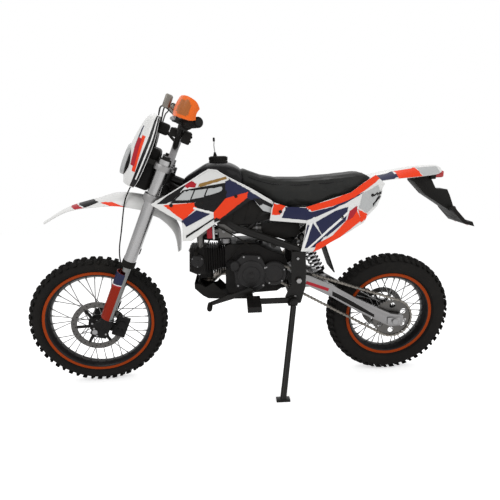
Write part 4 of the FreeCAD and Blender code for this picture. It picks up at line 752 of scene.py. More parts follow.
def chain_spot(distance):
    """Point on the loop at a distance from the upper run's front end."""
    distance %= loop
    upper, lower = math.pi / 2 + tilt, -math.pi / 2 - tilt
    if distance < run:
        way = along * math.cos(tilt) + across * math.sin(tilt)
        return on_circle(FRONT_SPROCKET, FRONT_PITCH_R, upper) + way * distance
    distance -= run
    if distance < REAR_PITCH_R * rear_wrap:
        return on_circle(REAR_SPROCKET, REAR_PITCH_R, upper - distance / REAR_PITCH_R)
    distance -= REAR_PITCH_R * rear_wrap
    if distance < run:
        way = -along * math.cos(tilt) + across * math.sin(tilt)
        return on_circle(REAR_SPROCKET, REAR_PITCH_R, lower) + way * distance
    distance -= run
    return on_circle(FRONT_SPROCKET, FRONT_PITCH_R, lower - distance / FRONT_PITCH_R)


# %% Chain plates, rollers and pins
WAIST = 0.62
SPACING = (0.0053, 0.0072)
plate = start("cube", size=1.0)
edit_all(plate, ("subdivide", dict(number_cuts=1)))
for vertex in plate.data.vertices:
    waist = WAIST if abs(vertex.co.x) < 0.1 else 1.0
    vertex.co = (vertex.co.x * (pitch + 0.0082), vertex.co.y * 0.0018, vertex.co.z * 0.0100 * waist)
bevelled(plate, 0.0028, 2, 50)
roller = turned([(-4.5, 0), (-4.5, 5), (4.5, 5), (4.5, 0)], 10)
pin = turned([(-8.4, 0), (-8.4, 2.4), (8.4, 2.4), (8.4, 0)], 8)
plate_places, roller_places = [], []
for index in range(CHAIN_LINKS):
    first, second = chain_spot(pitch * index), chain_spot(pitch * (index + 1))
    middle = (first + second) / 2
    way = (second - first).normalized()
    basis = Matrix((way, Vector((0, 1, 0)), way.cross(Vector((0, 1, 0))))).transposed().to_4x4()
    for sign in (-1, 1):
        plate_spot = middle + Vector((0, sign * SPACING[index % 2], 0))
        plate_places.append(Matrix.Translation(plate_spot) @ basis)
    roller_places.append(Matrix.Translation(first))
chain = joined([repeated(plate, plate_places), repeated(roller, roller_places), repeated(pin, roller_places)])
settle(chain, "roller_chain", "chain_steel", "chain_steel", "chassis", "drive_chain")


# %% Front sprocket
def sprocket(teeth, pitch_r, wide):
    """Toothed plate: a ring whose outer corners rise and fall once for each tooth."""
    thing = start("cylinder", vertices=teeth * 4, radius=pitch_r, depth=wide)
    for vertex in thing.data.vertices:
        turn = math.atan2(vertex.co.y, vertex.co.x) / math.tau * teeth
        share = turn - math.floor(turn + 0.02)
        radius = pitch_r + TOOTH_RISE[int(round(share * 4)) % 4]
        length = math.hypot(vertex.co.x, vertex.co.y)
        vertex.co.x *= radius / length
        vertex.co.y *= radius / length
    thing.data.transform(Matrix.Rotation(math.radians(90), 4, "X"))
    return thing


FRONT_TEETH = 13
TOOTH_RISE = (0.0042, 0.0002, -0.0042, 0.0002)
front_sprocket = sprocket(FRONT_TEETH, FRONT_PITCH_R, 0.005)
front_sprocket.data.transform(Matrix.Translation(FRONT_SPROCKET))
bolt = bevelled(start("cylinder", vertices=6, radius=0.011, depth=0.008), 0.001, 1)
bolt_spot = Matrix.Translation(FRONT_SPROCKET + Vector((0, -0.006, 0)))
bolt.data.transform(bolt_spot @ Matrix.Rotation(math.radians(90), 4, "X"))
settle(joined([front_sprocket, bolt]), "front_sprocket_toothed", "zinc_steel", "chain_steel", "chassis")

# %% [markdown]
# ## Curved sheets and stickers
# Mudguards and panels are thin moulded sheets. Each starts as a grid whose corners are put on
# a table of stations, smooth from one to the next, and gets its wall with Solidify. Graphics
# on the real machine are vinyl stickers, so each is a copy of the sheet, trimmed by bisect
# planes to a convex outline. Each next sticker is a little thicker, so it lies on the last.

# %% Tables and sheets
def row_at(rows, share):
    """Row below a share of the way through a table, and how far the spot is to the next row."""
    spot = min(max(share, 0.0), 1.0) * (len(rows) - 1)
    index = min(int(spot), len(rows) - 2)
    return index, spot - index


def between(rows, share):
    """Row of numbers at a share of the way through a table, smooth from row to row."""
    index, t = row_at(rows, share)
    near = (rows[max(index - 1, 0)], rows[index], rows[index + 1], rows[min(index + 2, len(rows) - 1)])
    return [0.5 * (2 * b + (c - a) * t + (2 * a - 5 * b + 4 * c - d) * t ** 2
                   + (3 * b - a - 3 * c + d) * t ** 3) for a, b, c, d in zip(*near)]


def straight(rows, share):
    """The same, but in straight lines from row to row."""
    index, t = row_at(rows, share)
    return [a + (b - a) * t for a, b in zip(rows[index], rows[index + 1])]


def sheet_of(along, across, spot, inside):
    """Open sheet: a grid put where spot(u, v) says in mm, facing away from a point inside."""
    thing = start("grid", x_subdivisions=along, y_subdivisions=across, size=1.0)
    for vertex in thing.data.vertices:
        vertex.co = Vector(spot(vertex.co.x + 0.5, vertex.co.y + 0.5)) * MM
    thing.data.update()
    core = Vector(inside) * MM
    if sum(face.normal.dot(face.center - core) * face.area for face in thing.data.polygons) < 0:
        thing.data.flip_normals()
    return thing


# %% Walls and stickers
def walled(sheet, thick, edge=0.0008):
    """Copy of a sheet with a wall of a thickness on its inner side and eased edges."""
    wall = copy_of(sheet, STILL)
    apply_modifier(wall, "TRIANGULATE", quad_method="FIXED")
    apply_modifier(wall, "SOLIDIFY", thickness=thick, offset=-1.0)
    return bevelled(wall, edge, 2, 50)


def patch(sheet, corners, thick=0.0006):
    """Sticker: a copy of the sheet trimmed to a convex side-view outline in mm."""
    thing = copy_of(sheet, STILL)
    spots = [Vector((x, 0, z)) * MM for x, z in corners]
    middle = sum(spots, Vector()) / len(spots)
    only(thing)
    bpy.ops.object.mode_set(mode="EDIT")
    for first, second in zip(spots, spots[1:] + spots[:1]):
        way = second - first
        normal = Vector((way.z, 0, -way.x))
        if normal.dot(middle - first) > 0:
            normal = -normal
        bpy.ops.mesh.select_all(action="SELECT")
        bpy.ops.mesh.bisect(plane_co=first, plane_no=normal, use_fill=False, clear_outer=True)
    bpy.ops.object.mode_set(mode="OBJECT")
    return apply_modifier(thing, "SOLIDIFY", thickness=thick, offset=1.0)


STICKER_THICK, STICKER_STEP = 0.0004, 0.00008


def stickers(sheet, name, table, body, two_sided=True):
    """All stickers of one sheet, joined by colour."""
    by_colour = {}
    base = apply_modifier(copy_of(sheet, STILL), "TRIANGULATE", quad_method="FIXED")
    for index, (colour, corners) in enumerate(table):
        piece = patch(base, corners, STICKER_THICK + STICKER_STEP * index)
        by_colour.setdefault(colour, []).append(piece)
    for colour, pieces in by_colour.items():
        whole = joined(pieces)
        if two_sided:
            whole = both_sides(whole)
        settle(whole, "%s_%s" % (name, colour), colour, "red_plastic", body)
    discard(base)


# %% Copies, bars, blocks and spun pieces along a way
def node_copy(node_name):
    """Copy of a CAD node to work on; it is at its parked place already."""
    thing = bpy.data.objects.new(node_name + "_copy", NODES[node_name].data.copy())
    bpy.context.scene.collection.objects.link(thing)
    return thing


def discard(*things):
    for thing in things:
        bpy.data.objects.remove(thing)


def wire(points, radius, sides=3):
    """Smooth round bar or cable along control points in mm, with its radius in metres."""
    curve = bpy.data.curves.new("route", "CURVE")
    curve.dimensions = "3D"
    curve.bevel_depth = radius
    curve.bevel_resolution = sides
    curve.resolution_u = 6
    curve.use_fill_caps = True
    spline = curve.splines.new("NURBS")
    spline.points.add(len(points) - 1)
    for knot, point in zip(spline.points, points):
        knot.co = (*(Vector(point) * MM), 1)
    spline.order_u = 3
    spline.use_endpoint_u = True
    thing = bpy.data.objects.new("route", curve)
    bpy.context.scene.collection.objects.link(thing)
    only(thing)
    bpy.ops.object.convert(target="MESH")
    return bpy.context.object


def box(x, y, z, round_by=0.0015, segments=2):
    """Rounded block between two values along each axis, in mm."""
    thing = start("cube", size=1.0)
    middle = Vector((sum(x), sum(y), sum(z))) / 2 * MM
    size = Vector((x[1] - x[0], y[1] - y[0], z[1] - z[0])) * MM
    thing.data.transform(Matrix.Translation(middle) @ Matrix.Diagonal((*size, 1)))
    return bevelled(thing, round_by, segments, 40)


# Ways on the upright machine, whose front looks along -x
UP, BACK, LEFT, RIGHT = (0, 0, 1), (1, 0, 0), (0, -1, 0), (0, 1, 0)


def turned_at(section, base, way, steps=32):
    """Spun piece whose section starts at base and runs along way, all in mm."""
    piece = turned(section, steps)
    hint = Vector((0.02, 0.01, 1)) if abs(Vector(way).normalized().z) < 0.9 else Vector((1, 0.01, 0.02))
    piece.data.transform(axes_matrix(Vector(base) * MM, way, hint))
    return piece


# %% [markdown]
# ## Fork, guards and brake
# The fork is an upside-down type: a wide silver tube in the clamps and a bright slider below.
# A wiper seal closes each tube, and a red guard wraps the front of each slider, with dark
# bands and a thin pale line near its top.

# %% Sliders, seals, guards and axle nuts
LEG_X, AXLE_X, LEG_Y = -24.0, -57.0, 92.0
GUARD_R, GUARD_WRAP, GUARD_LOW, GUARD_LONG = 33, 196, 70, 208
for side, side_name in ((-1, "left"), (1, "right")):
    y = side * LEG_Y
    seal = turned_at(((0, 17.2), (0, 24), (3, 26), (10, 26.6), (12, 25.8), (14, 26.6), (26, 26.4),
                      (28, 24.2), (28, 17.2)), (LEG_X, y, 305), UP, 40)
    settle(seal, "fork_seal_" + side_name, "rubber_black", "grip_rubber", "fork")
    slider = turned_at(((0, 16), (0, 17.15), (240, 17.15), (240, 16)), (LEG_X, y, 66), UP, 48)
    settle(slider, "fork_slider_shine_" + side_name, "slider_chrome", "fork_silver", "fork")
    cap = turned_at(((0, 0), (0, 22), (5, 22), (6, 15), (13, 14.5), (14, 13), (14, 0)),
                    (LEG_X, y, 748), UP, 24)
    settle(cap, "fork_cap_" + side_name, "black_paint", "black_alloy", "fork")

    def guard_spot(u, v, y=y):
        angle = math.radians(180 + (u - 0.5) * GUARD_WRAP)
        return LEG_X + GUARD_R * math.cos(angle), y + GUARD_R * math.sin(angle), GUARD_LOW + GUARD_LONG * v

    guard = sheet_of(28, 12, guard_spot, (LEG_X, y, 170))
    # The CAD node holds both guards, so one piece stands for it
    replaced = ["fork_guards"] if side < 0 else []
    settle(walled(guard, 0.003), "fork_guard_" + side_name, "guard_red", "red_plastic", "fork", *replaced)
    bands = (
        ("dark_red", ((-70, 214), (30, 234), (30, 240), (-70, 219))),
        ("navy", ((-70, 223), (30, 243), (30, 280), (-70, 280))),
        ("white_plastic", ((-70, 219), (30, 240), (30, 243), (-70, 223))),
    )
    stickers(guard, "fork_guard_band_" + side_name, bands, "fork", two_sided=False)
    discard(guard)
    foot = box((LEG_X - 31, LEG_X - 16), (y - 7, y + 7), (72, 98), 0.002)
    settle(foot, "fork_guard_foot_" + side_name, "black_plastic", "black_plastic", "fork")
    bolts = []
    for spot in ((AXLE_X - 8, 12), (AXLE_X + 12, -14), (LEG_X + 10, 2)):
        bolts.append(turned_at(((0, 0), (0, 4.2), (3, 4.2), (3.6, 3.4), (3.6, 0)),
                               (spot[0], side * (LEG_Y + 14.5), spot[1]), (0, side, 0), 6))
    nut = turned_at(((0, 0), (0, 12), (6, 12), (7, 10.5), (7, 0)), (AXLE_X, side * (LEG_Y + 15), 0),
                    (0, side, 0), 6)
    settle(joined(bolts + [nut]), "axle_fixings_" + side_name, "zinc_steel", "axle_steel", "fork")

# %% Fork feet
feet = node_copy("fork_legs")
clean(feet, 0.00002)
FEET_TOP = Vector((0, 0, 0.064))
edit_all(feet, ("bisect", dict(plane_co=FORK @ FEET_TOP, plane_no=FORK.to_3x3() @ Vector(UP), use_fill=True,
                               clear_outer=True)))
apply_modifier(feet, "DISPLACE", strength=0.0005, mid_level=0.0)
settle(feet, "fork_feet", "cast_black", "caliper_black", "fork", parked=True)

# %% Front caliper
body_block = box((5, 58), (-79, -62), (-10, 78), 0.006, 3)
piston = turned_at(((0, 0), (0, 17), (3, 17), (4, 15.5), (4, 0)), (32, -79, 46), LEFT, 24)
piston_low = turned_at(((0, 0), (0, 15), (3, 15), (4, 13.5), (4, 0)), (32, -79, 14), LEFT, 24)
bracket = box((-8, 20), (-84, -73), (10, 40), 0.003)
banjo = turned_at(((0, 0), (0, 6), (9, 6), (10, 5), (10, 0)), (27, -70, 76), (0.2, 0, 1), 6)
caliper = joined([body_block, piston, piston_low, bracket])
settle(caliper, "front_caliper_casting", "cast_black", "caliper_black", "fork")
settle(banjo, "front_caliper_banjo", "zinc_steel", "axle_steel", "fork")

# %% [markdown]
# ## Front mudguard
# A high off-road mudguard is one long thin shell with a rounded back and side skirts at the
# fork. Its cross-section is an arc through three known points, which is easy to follow with
# a grid. A low rib runs along the middle, and a dark and two red stripes cross its nose.

# %% Mudguard shell and stripes
FRONT_MUDGUARD = (
    # x, up, slope in degrees, half width, depth of the skirt
    (-381.0, 337.0, 53.0, 17.0, 5.0), (-313.0, 427.0, 47.0, 39.0, 10.0),
    (-225.0, 499.0, 38.0, 56.0, 24.0), (-150.0, 555.0, 25.0, 62.0, 45.0),
    (-60.0, 581.0, 2.0, 63.0, 52.0), (-12.0, 581.0, -4.0, 62.0, 54.0),
    (55.0, 557.0, -33.0, 58.0, 40.0), (120.0, 500.0, -50.0, 50.0, 22.0),
    (155.0, 417.0, -75.0, 38.0, 9.0),
)


RIB_HIGH, RIB_WIDE = 1.6, 7.0


def arc_at(half, depth, share):
    """Places across and down on an arc of a half width and a depth, at a share of its length."""
    radius = (half ** 2 + depth ** 2) / (2 * depth)
    angle = (2 * share - 1) * math.atan2(half, radius - depth)
    return radius * math.sin(angle), radius * (1 - math.cos(angle))


def arch_spot(rows, u, v, rib_at=0.0):
    """Spot on an arched mudguard with low ribs at a distance from its middle line."""
    x, up, slope, half, depth = between(rows, u)
    side, drop = arc_at(half, depth, v)
    drop -= RIB_HIGH * math.exp(-((abs(side) - rib_at) / RIB_WIDE) ** 2)
    slope = math.radians(slope)
    return x + math.sin(slope) * drop, side, up - math.cos(slope) * drop


mudguard = sheet_of(56, 22, lambda u, v: arch_spot(FRONT_MUDGUARD, u, v), (0, 0, 400))
settle(walled(mudguard, 0.0032), "front_mudguard", "white_plastic", "white_plastic", "fork", "front_fender")
nose_bands = (
    ("black_gloss", ((-300, 455), (-262, 488), (-205, 500), (-245, 462))),
    ("dark_red", ((-310, 438), (-296, 452), (-243, 459), (-262, 440))),
    ("red_orange", ((-200, 500), (-160, 520), (-110, 521), (-150, 506))),
)
stickers(mudguard, "mudguard_band", nose_bands, "fork", two_sided=False)
discard(mudguard)
bolts = [turned_at(((0, 0), (0, 6), (2.5, 6), (3.5, 4.5), (3.5, 0)), (x, y, 578), UP, 12)
         for x in (-58, -12) for y in (-26, 26)]
settle(joined(bolts), "mudguard_bolts", "zinc_steel", "axle_steel", "fork")

# %% [markdown]
# ## Number-plate mask and headlamp
# The mask is a curved shield that stands before the clamps and carries the headlamp. It is a
# grid bent to an arc that changes with height, cut open for the lamp by a boolean cylinder.
# The lamp is a bezel, a dished reflector with a bulb, and a pale domed lens.

# %% Mask
LAMP_UP = 690.0
MASK_ROWS = (
    # height over the lamp, front x, back x, half width
    (-88.0, -151.0, -103.0, 66.0), (-50.0, -160.0, -92.0, 92.0),
    (40.0, -168.0, -84.0, 100.0), (110.0, -160.0, -84.0, 86.0),
    (170.0, -146.0, -92.0, 64.0), (198.0, -128.0, -98.0, 40.0),
)


def mask_spot(u, v):
    rise, front, back, half = between(MASK_ROWS, u)
    side, drop = arc_at(half, back - front, v)
    return front + drop, side, LAMP_UP + rise


mask = sheet_of(40, 28, mask_spot, (0, 0, LAMP_UP + 40))
cutter = start("cylinder", vertices=48, radius=0.0625, depth=0.12)
cutter_spot = Matrix.Translation((-0.17, 0, LAMP_UP * MM))
cutter.data.transform(cutter_spot @ Matrix.Rotation(math.radians(90), 4, "Y"))
shell = walled(mask, 0.003)
apply_modifier(shell, "BOOLEAN", operation="DIFFERENCE", object=cutter, solver="EXACT")
discard(cutter)
settle(shell, "lamp_mask", "white_plastic", "white_plastic", "fork", "headlamp_mask")

# %% Bands on the mask
MASK_BANDS = (
    # name, finish, from and to along the height, from and to across, thickness
    ("rim", "black_gloss", 0.04, 0.96, 0.006, 0.10, 0.0005),
    ("line", "white_line", 0.20, 0.93, 0.036, 0.056, 0.0009),
    ("flash", "red_orange", 0.26, 0.60, 0.13, 0.19, 0.0005),
    ("shade", "dark_red", 0.30, 0.56, 0.17, 0.25, 0.0008),
    ("spear", "navy", 0.44, 0.70, 0.255, 0.285, 0.0005),
)
LEANING = ("flash", "shade", "spear")
BAND_LEAN = 0.05


def band_at(label, low, high, inner, outer):
    """Spot function of a band on the mask, between two heights and two shares across."""
    def spot(u, v):
        lean_in = BAND_LEAN * (u - 0.5) if label in LEANING else 0.0
        return mask_spot(low + (high - low) * u, max(inner + (outer - inner) * v + lean_in, 0.004))
    return spot


for label, colour, low, high, inner, outer, thick in MASK_BANDS:
    band = sheet_of(30, 3, band_at(label, low, high, inner, outer), (0, 0, LAMP_UP + 40))
    apply_modifier(band, "SOLIDIFY", thickness=thick, offset=1.0)
    settle(both_sides(band), "mask_band_" + label, colour, "red_plastic", "fork")
discard(mask)

# %% Cowl behind the lamp
cowl = box((-112, -50), (-60, 60), (606, 772), 0.014, 4)
cowl_ribs = [box((-58, -47.5), (y - 2.5, y + 2.5), (622, 756), 0.001, 1) for y in (-36, -12, 12, 36)]
settle(joined([cowl] + cowl_ribs), "lamp_cowl", "black_plastic", "black_plastic", "fork")


# %% Lamp
def lamp_part(section, ahead, steps):
    """Round part of the lamp, whose section starts so far ahead of the fork and runs back."""
    return turned_at(section, (-ahead, 0, LAMP_UP), BACK, steps)


LENS_CURVE, LENS_THICK = 150, 2.5
bezel = lamp_part(((0, 50), (0, 60), (3, 62), (14, 62), (16, 60), (16, 55), (6, 52)), 172, 56)
settle(bezel, "lamp_bezel", "pale_grey", "white_plastic", "fork")
reflector = lamp_part(((0, 54), (14, 47), (26, 34), (34, 16), (36, 8), (38, 8), (36, 17), (28, 36), (16, 49),
                       (2, 56)), 164, 48)
settle(reflector, "lamp_reflector", "spring_silver", "axle_steel", "fork")
bulb = lamp_part(((0, 0), (1, 4), (5, 6.5), (11, 6.5), (18, 5), (24, 5), (24, 0)), 152, 20)
settle(bulb, "lamp_bulb", "pale_grey", "white_plastic", "fork")
dome = [(LENS_CURVE - math.sqrt(LENS_CURVE ** 2 - r ** 2), r) for r in (0, 10, 20, 30, 40, 48, 53)]
lens = lamp_part(dome + [(depth + LENS_THICK, radius) for depth, radius in reversed(dome)], 173.4, 48)
settle(lens, "lamp_lens", "clear_lens", "white_plastic", "fork")

# %% [markdown]
# ## Handlebar fittings
# The rider's controls: ribbed grips, lever blades on slim perches, a switch box, a small
# display behind the mask and the rounded orange hand guards. The guards are sheets bent
# round the grip in plan and tapered in height.

# %% Grips
BAR_X, BAR_UP = -8.0, 806.0
bar_knee = Vector((BAR_X - 4, 190, BAR_UP + 86))
bar_tip = Vector((36, 372, BAR_UP + 109))
bar_way = (bar_tip - bar_knee).normalized()
grip_section = [(0, 11.2), (0, 20.5), (3, 21.5), (6, 20.5), (7, 16)]
for rib in range(18):
    start_at = 10 + 6.0 * rib
    grip_section += [(start_at, 15.2), (start_at + 0.8, 16.4), (start_at + 3.8, 16.4), (start_at + 4.6, 15.2)]
grip_section += [(119, 16.5), (122, 15), (123, 11.2)]
grip = turned_at(grip_section, bar_tip - bar_way * 128, bar_way, 28)
settle(both_sides(grip), "ribbed_grips", "rubber_black", "grip_rubber", "fork", "grips")

# %% Levers, cables and switches
perch_at = bar_tip - bar_way * 160


def perch_wire(points, radius):
    """Bar whose points count from the lever's perch."""
    return wire([perch_at + Vector(point) for point in points], radius)


def perch_box(x, y, z, round_by):
    """Rounded block whose ranges count from the lever's perch."""
    ranges = [(spot + low, spot + high) for spot, (low, high) in zip(perch_at, (x, y, z))]
    return box(*ranges, round_by, 3)


collar = turned_at(((0, 11.2), (0, 15), (2, 16.5), (22, 16.5), (24, 15), (24, 11.2)), perch_at, bar_way, 28)
arm = perch_wire(((-10, 12, 0), (-26, 14, 0), (-38, 22, -1)), 0.0085)
switch = perch_box((-14, 18), (-44, -12), (-22, 14), 0.005)
settle(both_sides(joined([collar, arm, switch])), "lever_perches", "black_paint", "lever_black",
       "fork", "levers")
reservoir = perch_box((-34, -8), (-26, 14), (6, 30), 0.004)
knuckle = perch_box((-84, -60), (-2, 30), (22, 66), 0.006)
stem = perch_wire(((-12, 6, 8), (-40, 10, 16), (-70, 14, 36)), 0.0065)
settle(both_sides(joined([reservoir, knuckle, stem])), "master_cylinders", "chain_steel",
       "clamp_alloy", "fork")
cable = wire((perch_at + Vector((-66, 8, 58)), perch_at + Vector((-84, -60, 66)), (-86, 150, BAR_UP + 112),
              (-92, 60, BAR_UP + 96), (-84, 30, BAR_UP + 40)), 0.0026)
settle(both_sides(cable), "bar_cables", "rubber_black", "cable_black", "fork")
pod = box((2, 34), (126, 160), (BAR_UP + 26, BAR_UP + 70), 0.006, 3)
toggles = [box((33, 37), (y - 5, y + 5), (BAR_UP + rise - 4, BAR_UP + rise + 4), 0.0012)
           for y in (136, 150) for rise in (40, 56)]
lock = box((-44, -14), (120, 144), (BAR_UP + 34, BAR_UP + 64), 0.006, 3)
settle(both_sides(joined([pod, lock] + toggles)), "bar_switches", "black_plastic", "black_plastic", "fork")
blade = perch_wire(((-36, 18, -1), (-46, 46, -1), (-34, 84, 0), (-30, 112, 2), (-33, 126, 2)), 0.0052)
tip_ball = start("uv_sphere", segments=16, ring_count=8, radius=0.0072)
tip_ball.data.transform(Matrix.Translation((perch_at + Vector((-33, 127, 2))) * MM))
settle(both_sides(joined([blade, tip_ball])), "lever_blades", "clamp_alloy", "lever_black", "fork")

# %% Hand guards
GUARD_SWELL = 5.0
GUARD_PLAN = (
    # x, y, middle height over the bar, half height
    (26.0, 391.0, 127.0, 17.0), (10.0, 402.0, 130.0, 28.0), (-16.0, 399.0, 131.0, 32.0),
    (-33.0, 374.0, 130.0, 31.5), (-41.0, 330.0, 127.0, 31.0), (-45.0, 270.0, 123.0, 28.0),
    (-44.0, 222.0, 117.0, 23.0), (-35.0, 190.0, 111.0, 16.0), (-14.0, 178.0, 107.0, 11.0),
)


def guard_shape(u, v):
    x, y, middle, half = between(GUARD_PLAN, u)
    out = GUARD_SWELL * math.sin(math.pi * v)
    return x - out * 0.8, y + out * 0.4, BAR_UP + middle + (2 * v - 1) * half


guard = sheet_of(44, 14, guard_shape, (0, 300, BAR_UP + 120))
settle(both_sides(walled(guard, 0.0034, 0.0012)), "rider_hand_guards", "orange_plastic", "orange_plastic",
       "fork", "hand_guards")
INLAY = ((-34, 118), (-22, 110), (-2, 114), (0, 140), (-14, 150), (-30, 144))
inlay = patch(guard, [(x, BAR_UP + rise) for x, rise in INLAY])
settle(both_sides(inlay), "hand_guard_inlay", "amber_dark", "orange_plastic", "fork")
discard(guard)

# %% Display, clamp caps and bolts
display = box((-112, -52), (-31, 31), (BAR_UP + 22, BAR_UP + 66), 0.009, 3)
strut = wire(((BAR_X, 24, BAR_UP + 12), (BAR_X - 30, 24, BAR_UP + 24), (-60, 20, BAR_UP + 40)), 0.005)
settle(joined([display, both_sides(strut)]), "display_pod", "black_plastic", "black_plastic", "fork")
clamp_caps = [box((BAR_X - 14, BAR_X + 14), (y - 12, y + 12), (BAR_UP + 2, BAR_UP + 21), 0.003)
              for y in (-38, 38)]
cap_bolts = [turned_at(((0, 0), (0, 4), (3, 4), (3, 0)), (BAR_X + dx, y, BAR_UP + 20.5), UP, 8)
             for y in (-38, 38) for dx in (-9, 9)]
settle(joined(clamp_caps), "bar_clamp_caps", "clamp_alloy", "clamp_alloy", "fork")
settle(joined(cap_bolts), "bar_clamp_bolts", "zinc_steel", "axle_steel", "fork")
steering_nut = turned_at(((0, 0), (0, 17), (8, 17), (10, 14), (10, 0)), (0, 0, 729), UP, 6)
settle(steering_nut, "steering_nut", "zinc_steel", "axle_steel", "fork")
ring_bolts = [turned_at(((0, 0), (0, 5), (6, 5), (7, 4), (7, 0)), (LEG_X + 34, side * (LEG_Y - 14), z),
                        (1, 0.15 * side, 0), 6) for side in (-1, 1) for z in (590, 604, 718)]
settle(joined(ring_bolts), "clamp_pinch_bolts", "zinc_steel", "axle_steel", "fork")

# %% [markdown]
# ## Side shrouds
# The shrouds are the big wings beside the tank. Seen from the side each is a band between a
# lower and an upper line, and from above it bows out towards the front. The graphics are
# generic slanted shapes in the same colours as on the real machine, in sticker layers.

# %% Helpers for panels
def read_table(table, x):
    """Value at x of a table of (x, value) rows, straight between the rows."""
    if x <= table[0][0]:
        return table[0][1]
    for (low, first), (high, second) in zip(table, table[1:]):
        if x <= high:
            return first + (second - first) * (x - low) / (high - low)
    return table[-1][1]


def panel_depth(plan, x, z):
    """How far out a panel stands, from its plan lines at a lower and an upper height."""
    low, low_line, high, high_line = plan
    share = (z - low) / (high - low)
    return read_table(low_line, x) * (1 - share) + read_table(high_line, x) * share


def panel_spot(columns, plan, bow):
    """Spot function of a left-hand panel from its side-view columns and its plan."""
    def spot(u, v):
        x_low, z_low, x_high, z_high = straight(columns, u)
        x, z = x_low + (x_high - x_low) * v, z_low + (z_high - z_low) * v
        return x, -panel_depth(plan, x, z) - bow * math.sin(math.pi * v) * math.sin(math.pi * u), z
    return spot


def screws_on(plan, spots, section, way, proud):
    """Screws with hollow heads that stand proud of a panel, on both sides."""
    return both_sides(joined([turned_at(section, (x, -panel_depth(plan, x, z) - proud, z), way, 16)
                              for x, z in spots]))


# %% Shroud sheets
SHROUD_COLUMNS = (
    # lower x and z, upper x and z, from the front to the back
    (286, 794, 288, 797), (346, 755, 340, 823), (396, 725, 395, 855), (397, 690, 401, 858),
    (394, 656, 410, 864), (430, 655, 430, 875), (470, 682, 465, 896), (505, 705, 500, 916),
    (560, 735, 533, 912), (610, 765, 554, 895), (650, 790, 600, 869), (668, 797, 640, 848),
    (690, 768, 668, 832), (705, 751, 700, 812), (740, 740, 746, 783),
)
SHROUD_PLAN = (
    # height, then x and distance out along it
    640, ((275, 150), (380, 158), (470, 152), (560, 128), (665, 104), (760, 88)),
    930, ((275, 134), (380, 120), (470, 98), (560, 90), (665, 78), (760, 66)),
)
shroud_at = panel_spot(SHROUD_COLUMNS, SHROUD_PLAN, 5.0)
shroud = sheet_of(70, 20, shroud_at, (500, 0, 780))
settle(both_sides(walled(shroud, 0.003)), "side_shrouds", "white_plastic", "white_plastic",
       "chassis", "shrouds")

# %% Shroud stickers, the pale bead along the tank, and screws
SHROUD_STICKERS = (
    ("black_gloss", ((310, 798), (419, 876), (424, 867), (368, 808), (339, 796))),
    ("black_gloss", ((356, 797), (405, 843), (562, 864), (569, 838), (494, 808), (449, 796))),
    ("dark_red", ((416, 863), (433, 877), (453, 866), (450, 851), (423, 852))),
    ("gold_brown", ((457, 852), (474, 866), (568, 887), (561, 876), (494, 858))),
    ("pale_grey", ((375, 808), (411, 839), (444, 841), (429, 806))),
    ("pale_grey", ((436, 809), (451, 841), (492, 844), (481, 815))),
    ("pale_grey", ((490, 819), (500, 845), (549, 850), (540, 833))),
    ("navy", ((562, 866), (578, 876), (650, 833), (646, 823), (561, 802))),
    ("black_gloss", ((443, 794), (568, 837), (562, 804), (514, 753), (452, 772))),
    ("black_gloss", ((512, 742), (518, 719), (562, 732), (677, 797), (647, 817))),
    ("red_orange", ((331, 791), (441, 796), (451, 775), (407, 738), (393, 740))),
    ("navy", ((396, 732), (451, 768), (501, 751), (412, 709))),
    ("white_line", ((452, 777), (514, 757), (512, 751), (449, 770))),
    ("black_gloss", ((416, 680), (508, 732), (508, 726), (417, 672))),
    ("red_orange", ((510, 752), (561, 806), (646, 826), (645, 804), (594, 769), (540, 730), (518, 735))),
    ("navy", ((647, 831), (707, 794), (706, 785), (674, 790), (645, 804))),
    ("black_gloss", ((669, 800), (701, 797), (744, 772), (743, 752), (698, 764))),
    ("pale_grey", ((689, 768), (707, 775), (743, 757), (740, 742), (706, 752))),
)
stickers(shroud, "shroud_graphic", SHROUD_STICKERS, "chassis")
BEAD_SHARES = (0.02, 0.08, 0.14, 0.25, 0.36, 0.43, 0.5, 0.565, 0.64, 0.71, 0.79, 0.86, 0.93, 0.99)
edge_line = [Vector(shroud_at(u, 0.992)) + Vector(LEFT) for u in BEAD_SHARES]
settle(both_sides(wire(edge_line, 0.0020)), "shroud_bead", "white_line", "white_plastic", "chassis")
screws = screws_on(SHROUD_PLAN, ((360, 790), (470, 790), (600, 812), (690, 790)),
                   ((0, 0), (0, 7), (2.4, 6.4), (3.4, 4.6), (3.4, 3), (2.2, 2.4), (2.2, 0)),
                   (0, -1, -0.05), 4.0)
settle(screws, "shroud_screws", "black_paint", "axle_steel", "chassis")
discard(shroud)

# %% Air ducts
DUCT_COLUMNS = (
    # lower x and z, upper x and z, from the front to the back
    (498, 716, 500, 770), (540, 706, 548, 800), (600, 700, 610, 812), (660, 700, 672, 806),
    (716, 712, 724, 784), (758, 724, 762, 764),
)
DUCT_PLAN = (
    # height, then x and distance out along it
    690, ((480, 118), (560, 104), (665, 84), (770, 70)),
    830, ((480, 92), (560, 84), (665, 70), (770, 60)),
)
duct_at = panel_spot(DUCT_COLUMNS, DUCT_PLAN, 6.0)
duct = sheet_of(36, 12, duct_at, (620, 0, 760))
slats = []
for u in (0.18, 0.34, 0.5, 0.66, 0.82):
    low, high = Vector(duct_at(u, 0.12)), Vector(duct_at(u + 0.05, 0.88))
    slats.append(wire((low, (low + high) / 2 + Vector((0, -3.5, 0)), high), 0.0028))
settle(both_sides(joined([walled(duct, 0.003)] + slats)), "air_ducts", "black_plastic",
       "black_plastic", "chassis")
discard(duct)

# %% [markdown]
# ## Fuel tank and cap
# Between the shrouds sits a black tank with a crowned top. It is a grid closed to a ring at
# each station and drawn in at both ends, then its seam is merged. The cap is spun, gets
# grip ribs round it, and carries the short breather hose that stands up in the photograph.

